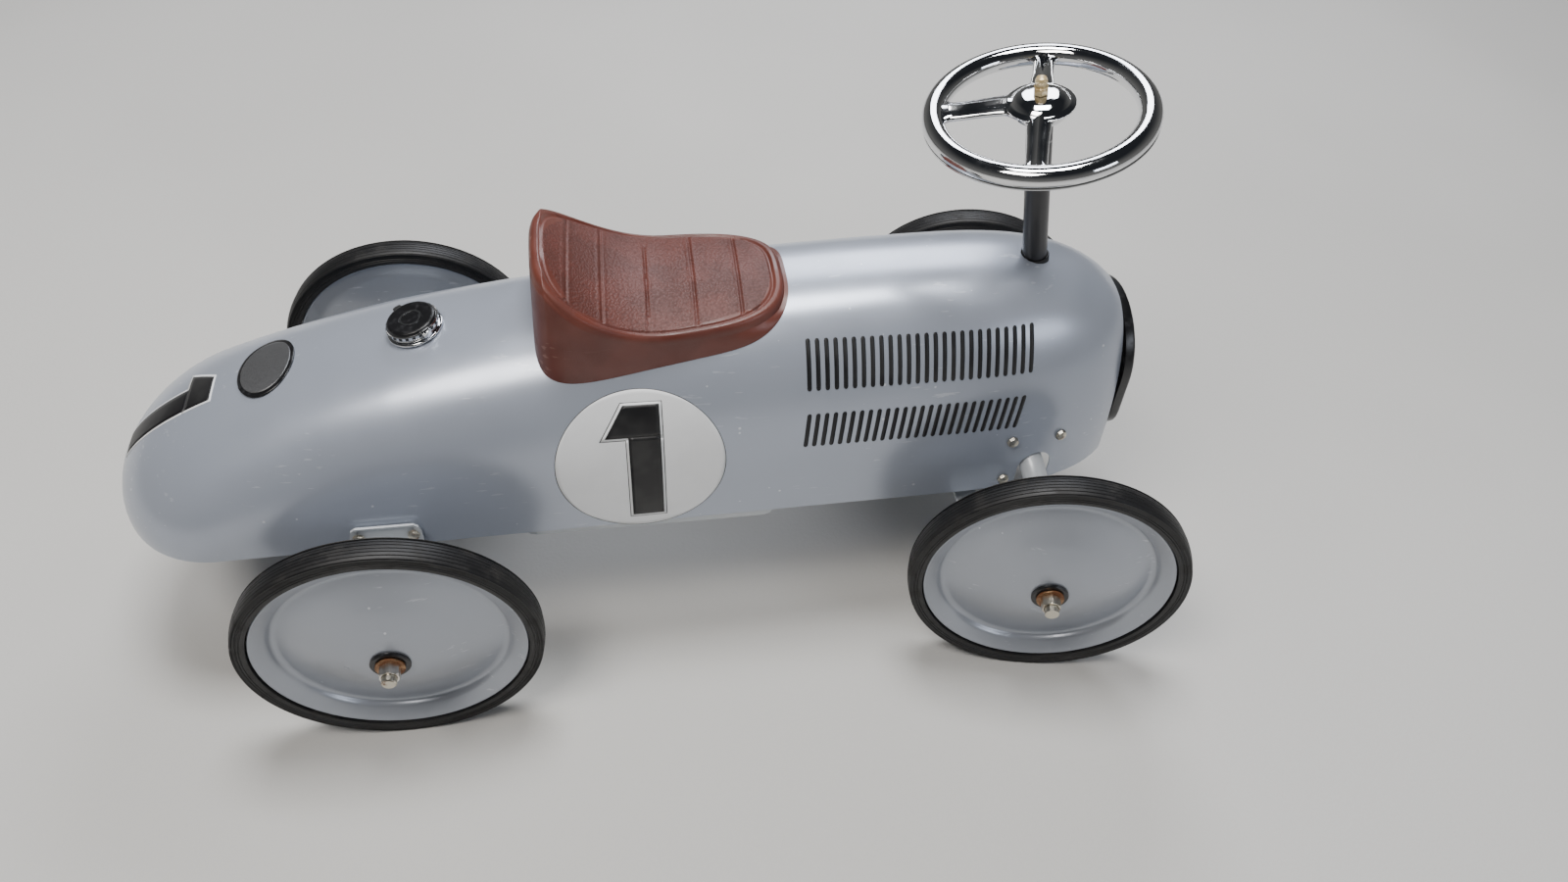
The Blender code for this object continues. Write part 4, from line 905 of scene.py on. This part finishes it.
def make_wheels():
    for side, label in ((1, "left"), (-1, "right")):
        rear, front = rear_place(side), front_place(side)
        make_wheel("rear", label, f"rear_wheel_{label}", rear, FACE_Y, FACE_Y - 35 * MM)
        make_wheel("front", label, f"front_wheel_{label}", front, FACE_OUT, 13 * MM)
        make_nut(f"rear_nut_{label}", "chassis", rear, FACE_Y, PALE_NUT)
        make_nut(f"front_nut_{label}", f"knuckle_{label}", front, FACE_OUT, ZINC)
    rod = in_mm([(0, 0), (4.2, 0), (5, 0.8)], 0, -AXLE_TIP)
    rod += in_mm([(5, -0.8), (4.2, 0), (0, 0)], 0, AXLE_TIP)
    piece("rear_axle_bar", turned(rod, 48, rear_place(1)), ZINC, "chassis", ["rear_axle"])


# ---------------------------------------------------------------- steering
def make_steering_wheel():
    tube, ring = 7.3 * MM, 66.5 * MM
    rim = []
    for k in range(32):
        a = 2 * pi * k / 32
        rim.append((ring + tube * cos(a), tube * sin(a) * 0.96))
    lip = in_mm([(6.7, -3.4), (7.1, -4.4), (6.1, -5.4), (4.6, -5)], ring)
    hub = in_mm([(3.2, -3.5), (13, -3.5), (17, 0), (19.5, 4.6), (21.9, 6.4), (21.9, 7.4), (18.6, 8.2),
                 (17.5, 9.4), (15.5, 11.2), (11.5, 12.8), (7, 13.4), (3.2, 13.4)])
    parts = [turned(rim, AROUND), turned(softened(lip, 0.4 * MM), AROUND), turned(softened(hub, 1.2 * MM))]
    for heading in (90, 180, 270):
        def spoke(u, v):
            along = 12 * MM + u * 52 * MM
            end = abs(u - 0.5) * 2
            flare = 5.5 * MM * smooth_step(end, 0.62, 1.0)
            half = (9.2 if heading == 180 else 6.8) * MM + flare + (1.4 * MM if u < 0.5 else 0) * end
            a = 2 * pi * v
            across = half * (abs(cos(a)) ** 0.7) * (1 if cos(a) > 0 else -1)
            ridge = 1.6 * MM * max(1 - abs(across) / (2.2 * MM), 0) if sin(a) > 0 else 0
            level = 5.2 * MM * (1 - smooth_step(u, 0.05, 0.95))
            lift = level + 3.1 * MM * sin(a) + ridge
            return Matrix.Rotation(radians(heading), 3, "Z") @ Vector((along, across, lift))
        parts.append(mapped(40, 32, spoke))
    bm = merged(parts)
    bmesh.ops.recalc_face_normals(bm, faces=bm.faces)
    moved(bm, STEERED)
    piece("steering_wheel_chrome", bm, CHROME, "steering", ["steering_wheel"], smooth=50)


def make_column():
    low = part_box("steering_column")[0][2]
    foot = -(HUB.translation.z - low) / cos(RAKE) + 1.6 * MM
    tube = [(0, foot), (COLUMN_R, foot), (COLUMN_R, -4.3 * MM)] + in_mm([(2.9, -4.3), (2.9, 21.4), (0, 21.4)])
    piece("column_tube", turned(tube, 72, STEERED), COLUMN_ENAMEL, "steering", ["steering_column"])
    nut = in_mm([(3.2, 0), (5.4, 0), (5.4, 0.7), (4.8, 1), (4.8, 4.2), (4.3, 4.7), (3.5, 5.1), (3.9, 6.1),
                 (3.9, 8.8), (3.1, 10.6), (1.5, 11.5), (0, 11.7), (0, 8.6), (3.2, 8.2)], 0, 13.8 * MM)
    bm = turned(nut, 72)
    hexagonal(bm, 4.25 * MM, 4.6 * MM)
    bmesh.ops.recalc_face_normals(bm, faces=bm.faces)
    moved(bm, STEERED)
    piece("cap_nut", bm, CAP_NUT, "steering", ["acorn_nut"], smooth=30)
    collar = TO_FRAME @ Matrix.Translation(column_point(top_point(COLUMN_X, 0).z))
    collar = collar @ Matrix.Rotation(-RAKE, 4, "Y")
    sleeve = in_mm([(8.9, -6), (9.9, -6), (9.9, 0.4), (9.4, 1), (8.9, 1)])
    piece("hood_sleeve", turned(sleeve, 64, collar), RUBBER, "chassis", ["hood_grommet"])


# ---------------------------------------------------------------- filler cap
def make_filler():
    """Chrome flange, black lid with two lugs, and the lid's bright trim and slots."""
    seat = top_normal(FILLER_X, 0).to_track_quat("Z", "Y").to_matrix().to_4x4()
    place = TO_FRAME @ Matrix.Translation(top_point(FILLER_X, 0)) @ seat
    low, edge = 4.1 * MM, 0.4 * MM
    neck = in_mm([(8.8, -7), (10.8, -7), (10.8, 0.3), (18.6, 0.3), (19, 0.9), (18.6, 2), (16.6, 2.4),
                  (16.2, 3), (16.6, 3.8), (8.8, 3.8)])
    piece("filler_flange", turned(softened(neck, edge), place=place), CHROME, "chassis", ["filler_neck"])
    cap = in_mm([(0, -4), (8.4, -4), (8.4, 0), (16.2, 0), (16.8, 0.8), (16.8, 4.2), (16, 5.6), (14.4, 6.1),
                 (12.6, 5.9), (7.6, 5.6), (7.4, 4.8), (6.2, 4.8), (6, 5.6), (0, 5.5)], 0, low)
    piece("filler_lid", turned(softened(cap, edge), place=place), ABS, "chassis", ["filler_cap"])
    ring = in_mm([(6.1, 4.9), (7.5, 4.9), (7.5, 5.85), (6.1, 5.85)], 0, low)
    bezel = in_mm([(16.85, 0.6), (17.5, 0.6), (17.8, 1.2), (17.7, 3.2), (17.2, 3.9), (16.85, 3.9)], 0, low)
    trim = [turned(ring), turned(bezel)]
    lug = in_mm([(15.5, -3.8), (20, -2.9), (20.6, 0), (20, 2.9), (15.5, 3.8)])
    for k in range(2):
        turn = Matrix.Rotation(pi * k + radians(35), 4, "Z")
        trim.append(prism(lug, low + 0.5 * MM, low + 4.4 * MM, 0.5 * MM, turn))
    piece("filler_trim", moved(merged(trim), place), CHROME, "chassis", smooth=30)
    slot = in_mm([(17.5, -1.1), (18, -1.1), (18, 1.1), (17.5, 1.1)])
    tabs = []
    for k in range(24):
        turn = Matrix.Rotation(2 * pi * (k + 0.5) / 24, 4, "Z")
        tabs.append(prism(slot, low + 1.5 * MM, low + 2.9 * MM, 0, turn))
    piece("filler_slots", moved(merged(tabs), place), ABS, "chassis")


# ---------------------------------------------------------------- nose
def arch(inset):
    half, low = 48 * MM - inset, BODY_BOTTOM + 10 * MM + inset
    centre = BODY_BOTTOM + 64 * MM
    points = [(half * cos(radians(a)), centre + half * sin(radians(a))) for a in range(0, 181, 5)]
    corner = max(22 * MM - inset, 6 * MM)
    for first, sign in ((180, -1), (270, 1)):
        for k in range(7):
            a = radians(first + 15 * k)
            points.append((sign * (half - corner) + corner * cos(a), low + corner + corner * sin(a)))
    return points


def make_nose():
    """Black moulded ring round a slotted grille."""
    stand = Matrix(((0, 0, 1, 0), (1, 0, 0, 0), (0, 1, 0, 0), (0, 0, 0, 1)))
    start = NOSE_X + 2.6 * MM
    ring = prism(arch(0), start, start + 7.5 * MM, 2.2 * MM)
    hole = prism(arch(8 * MM), start - 5 * MM, start + 15 * MM)
    for bm in (ring, hole):
        moved(bm, TO_FRAME @ stand)
    made = piece("nose_ring", ring, ABS, "chassis", ["nose_frame"], smooth=30)
    carve(made, [hole])


# ---------------------------------------------------------------- brackets and tube
def make_axle_tube():
    """Bent tube with a round kingpin sleeve welded on each end."""
    tube_z = BODY_BOTTOM + TUBE_UP
    low, high = AXLE_Z + 9.2 * MM, AXLE_Z + 32 * MM
    end = Vector((AXLE_X + 461 * MM, PIN_Y - 6 * MM, (low + high) / 2 - 2.5 * MM))
    straight = Vector((AXLE_X + COLUMN_X, 0, tube_z))
    corner = Vector((AXLE_X + COLUMN_X, 78 * MM, tube_z))
    path = [straight.lerp(corner, k / 4) for k in range(4)]
    a, b = (straight - corner).normalized(), (end - corner).normalized()
    first, last = corner + a * 12 * MM, corner + b * 12 * MM
    for k in range(9):
        t = k / 8
        path.append(first * (1 - t) ** 2 + corner * 2 * t * (1 - t) + last * t * t)
    path.append(end)
    path = [Vector((p.x, -p.y, p.z)) for p in path[:0:-1]] + path

    def place(u, v):
        step = min(int(u * (len(path) - 1) + 0.5), len(path) - 1)
        ahead = (path[min(step + 1, len(path) - 1)] - path[max(step - 1, 0)]).normalized()
        side = Vector((1, 0, 0))
        other = ahead.cross(side).normalized()
        side = other.cross(ahead)
        return path[step] + 9 * MM * (side * cos(2 * pi * v) + other * sin(2 * pi * v))

    parts = [mapped(len(path) - 1, 40, place)]
    sleeve = [(5.6 * MM, low), (9.5 * MM, low), (9.5 * MM, high), (5.6 * MM, high)]
    for side in (-1, 1):
        at = Matrix.Translation((PIN_X, side * PIN_Y, 0))
        parts.append(turned(softened(sleeve, 0.6 * MM), 48, at))
    piece("axle_tube", merged(parts), PALE_ENAMEL, "chassis", ["front_axle"], recalc=True)


def make_rear_brackets():
    """Pressed plate with a raised bright rim, folded out and down to the axle."""
    wall, leg = half_width(-23 * MM) + 0.3 * MM, FACE_Y - 39 * MM
    line = [(wall, 24, 19), (wall, 21.5, 22), (wall, 16, 23.4), (wall, 5, 23.8), (wall + 1 * MM, 2, 23.6),
            (wall + 4 * MM, -1, 22.5), (leg - 5 * MM, -7.5, 16.5), (leg - 1.2 * MM, -9.5, 15),
            (leg, -13, 13.5), (leg, -27, 12), (leg, -35, 10), (leg, -38, 6.5)]
    spine = [Vector((half * MM, y, BODY_BOTTOM + z * MM)) for y, z, half in line]
    for side, label in ((1, "left"), (-1, "right")):
        def place(u, v):
            at = v * (len(spine) - 1)
            k = min(int(at), len(spine) - 2)
            here = spine[k].lerp(spine[k + 1], at - k)
            run = spine[min(k + 1, len(spine) - 1)] - spine[k]
            out = Vector((0, -run.z, run.y)).normalized()
            rim = smooth_step(abs(u * 2 - 1), 0.82, 0.93) + smooth_step(0.12 - v, 0.02, 0.09)
            here = here + out * 1.5 * MM * min(rim, 1)
            return Vector(((u * 2 - 1) * here.x, side * here.y, here.z))
        bm = mapped(36, 88, place)
        moved(bm, TO_FRAME)
        facing_out(bm, side)
        made = piece(f"rear_bracket_plate_{label}", bm, PALE_ENAMEL, "chassis", [f"rear_bracket_{label}"],
                     wall=1.8 * MM)
        hole = [Vector((AXLE_X, side * (leg + d * MM), AXLE_Z)) for d in (-9, 9)]
        carve(made, [bar(5.5 * MM, *hole)])


# ---------------------------------------------------------------- what keeps its CAD shape
def finish_cad_nodes():
    """Small and hidden parts whose shape is right get their real finish."""
    for name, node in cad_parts.items():
        finish = ZINC
        if name.startswith(("floor_pan", "front_bracket", "steering_arm", "tie_rod")):
            finish = PALE_ENAMEL
        elif name in ("nose_grille", "column_bush"):
            finish = ABS
        node.data.materials.clear()
        node.data.materials.append(finish)


# ---------------------------------------------------------------- stage
LAMPS = (("key", (-0.8, -0.8, 2.3), 1.0, 36, "#fffaf4"), ("fill", (1.7, -1.7, 1.3), 0.9, 9, "#eef4ff"),
         ("back", (0.6, 2.1, 1.9), 1.3, 36, "#f4f7ff"), ("overhead", (0.1, 0.3, 2.5), 1.0, 48, "#ffffff"))
CAMERA_AT = (AXLE_X + 0.1578, -0.6250, 0.7850)
CAMERA_TURN = (43.105, -2.717, -8.735)           # degrees
CAMERA_LENS, CAMERA_SENSOR = 27.51, 36           # millimetres


def make_stage():
    """Pale floor, four soft lamps, a grey sky and the camera."""
    bm = bmesh.new()
    bmesh.ops.create_grid(bm, x_segments=1, y_segments=1, size=6)
    mesh = bpy.data.meshes.new("floor")
    bm.to_mesh(mesh)
    bm.free()
    mesh.materials.append(floor_material())
    ground = bpy.data.objects.new("floor", mesh)
    bpy.context.collection.objects.link(ground)
    for name, place, size, watts, tint in LAMPS:
        light = bpy.data.lights.new(name, "AREA")
        light.shape = "RECTANGLE"
        light.size, light.size_y = size, size * 0.7
        light.energy = watts
        light.color = colour(tint)[:3]
        lamp = bpy.data.objects.new(name, light)
        lamp.location = place
        lamp.rotation_euler = (-Vector(place)).to_track_quat("-Z", "Y").to_euler()
        bpy.context.collection.objects.link(lamp)
    world = bpy.data.worlds.new("studio")
    world.use_nodes = True
    tree = world.node_tree
    toward = add_node(tree, "ShaderNodeTexCoord").outputs["Generated"]
    up = add_node(tree, "ShaderNodeSeparateXYZ", {"Vector": toward})
    height = add_node(tree, "ShaderNodeMapRange", {"Value": up.outputs["Z"], "From Max": 0.7})
    sky = blend_colour(tree, height.outputs[0], colour("#a7a6a3"), colour("#3c3f44"))
    background = tree.nodes["Background"]
    tree.links.new(sky, background.inputs["Color"])
    background.inputs["Strength"].default_value = 0.42
    bpy.context.scene.world = world
    lens = bpy.data.cameras.new("camera")
    lens.sensor_width = CAMERA_SENSOR
    lens.lens = CAMERA_LENS
    lens.clip_start = 0.01
    camera = bpy.data.objects.new("camera", lens)
    camera.location = CAMERA_AT
    camera.rotation_euler = [radians(angle) for angle in CAMERA_TURN]
    bpy.context.collection.objects.link(camera)
    bpy.context.scene.camera = camera


finish_cad_nodes()
make_stage()
make_shell()
for flank, flank_name in ((-1, "right"), (1, "left")):
    make_louvres(flank, flank_name)
    make_roundel(flank, flank_name)
make_tail_figure()
make_badge()
make_saddle()
make_wheels()
make_steering_wheel()
make_column()
make_filler()
make_nose()
make_axle_tube()
make_rear_brackets()
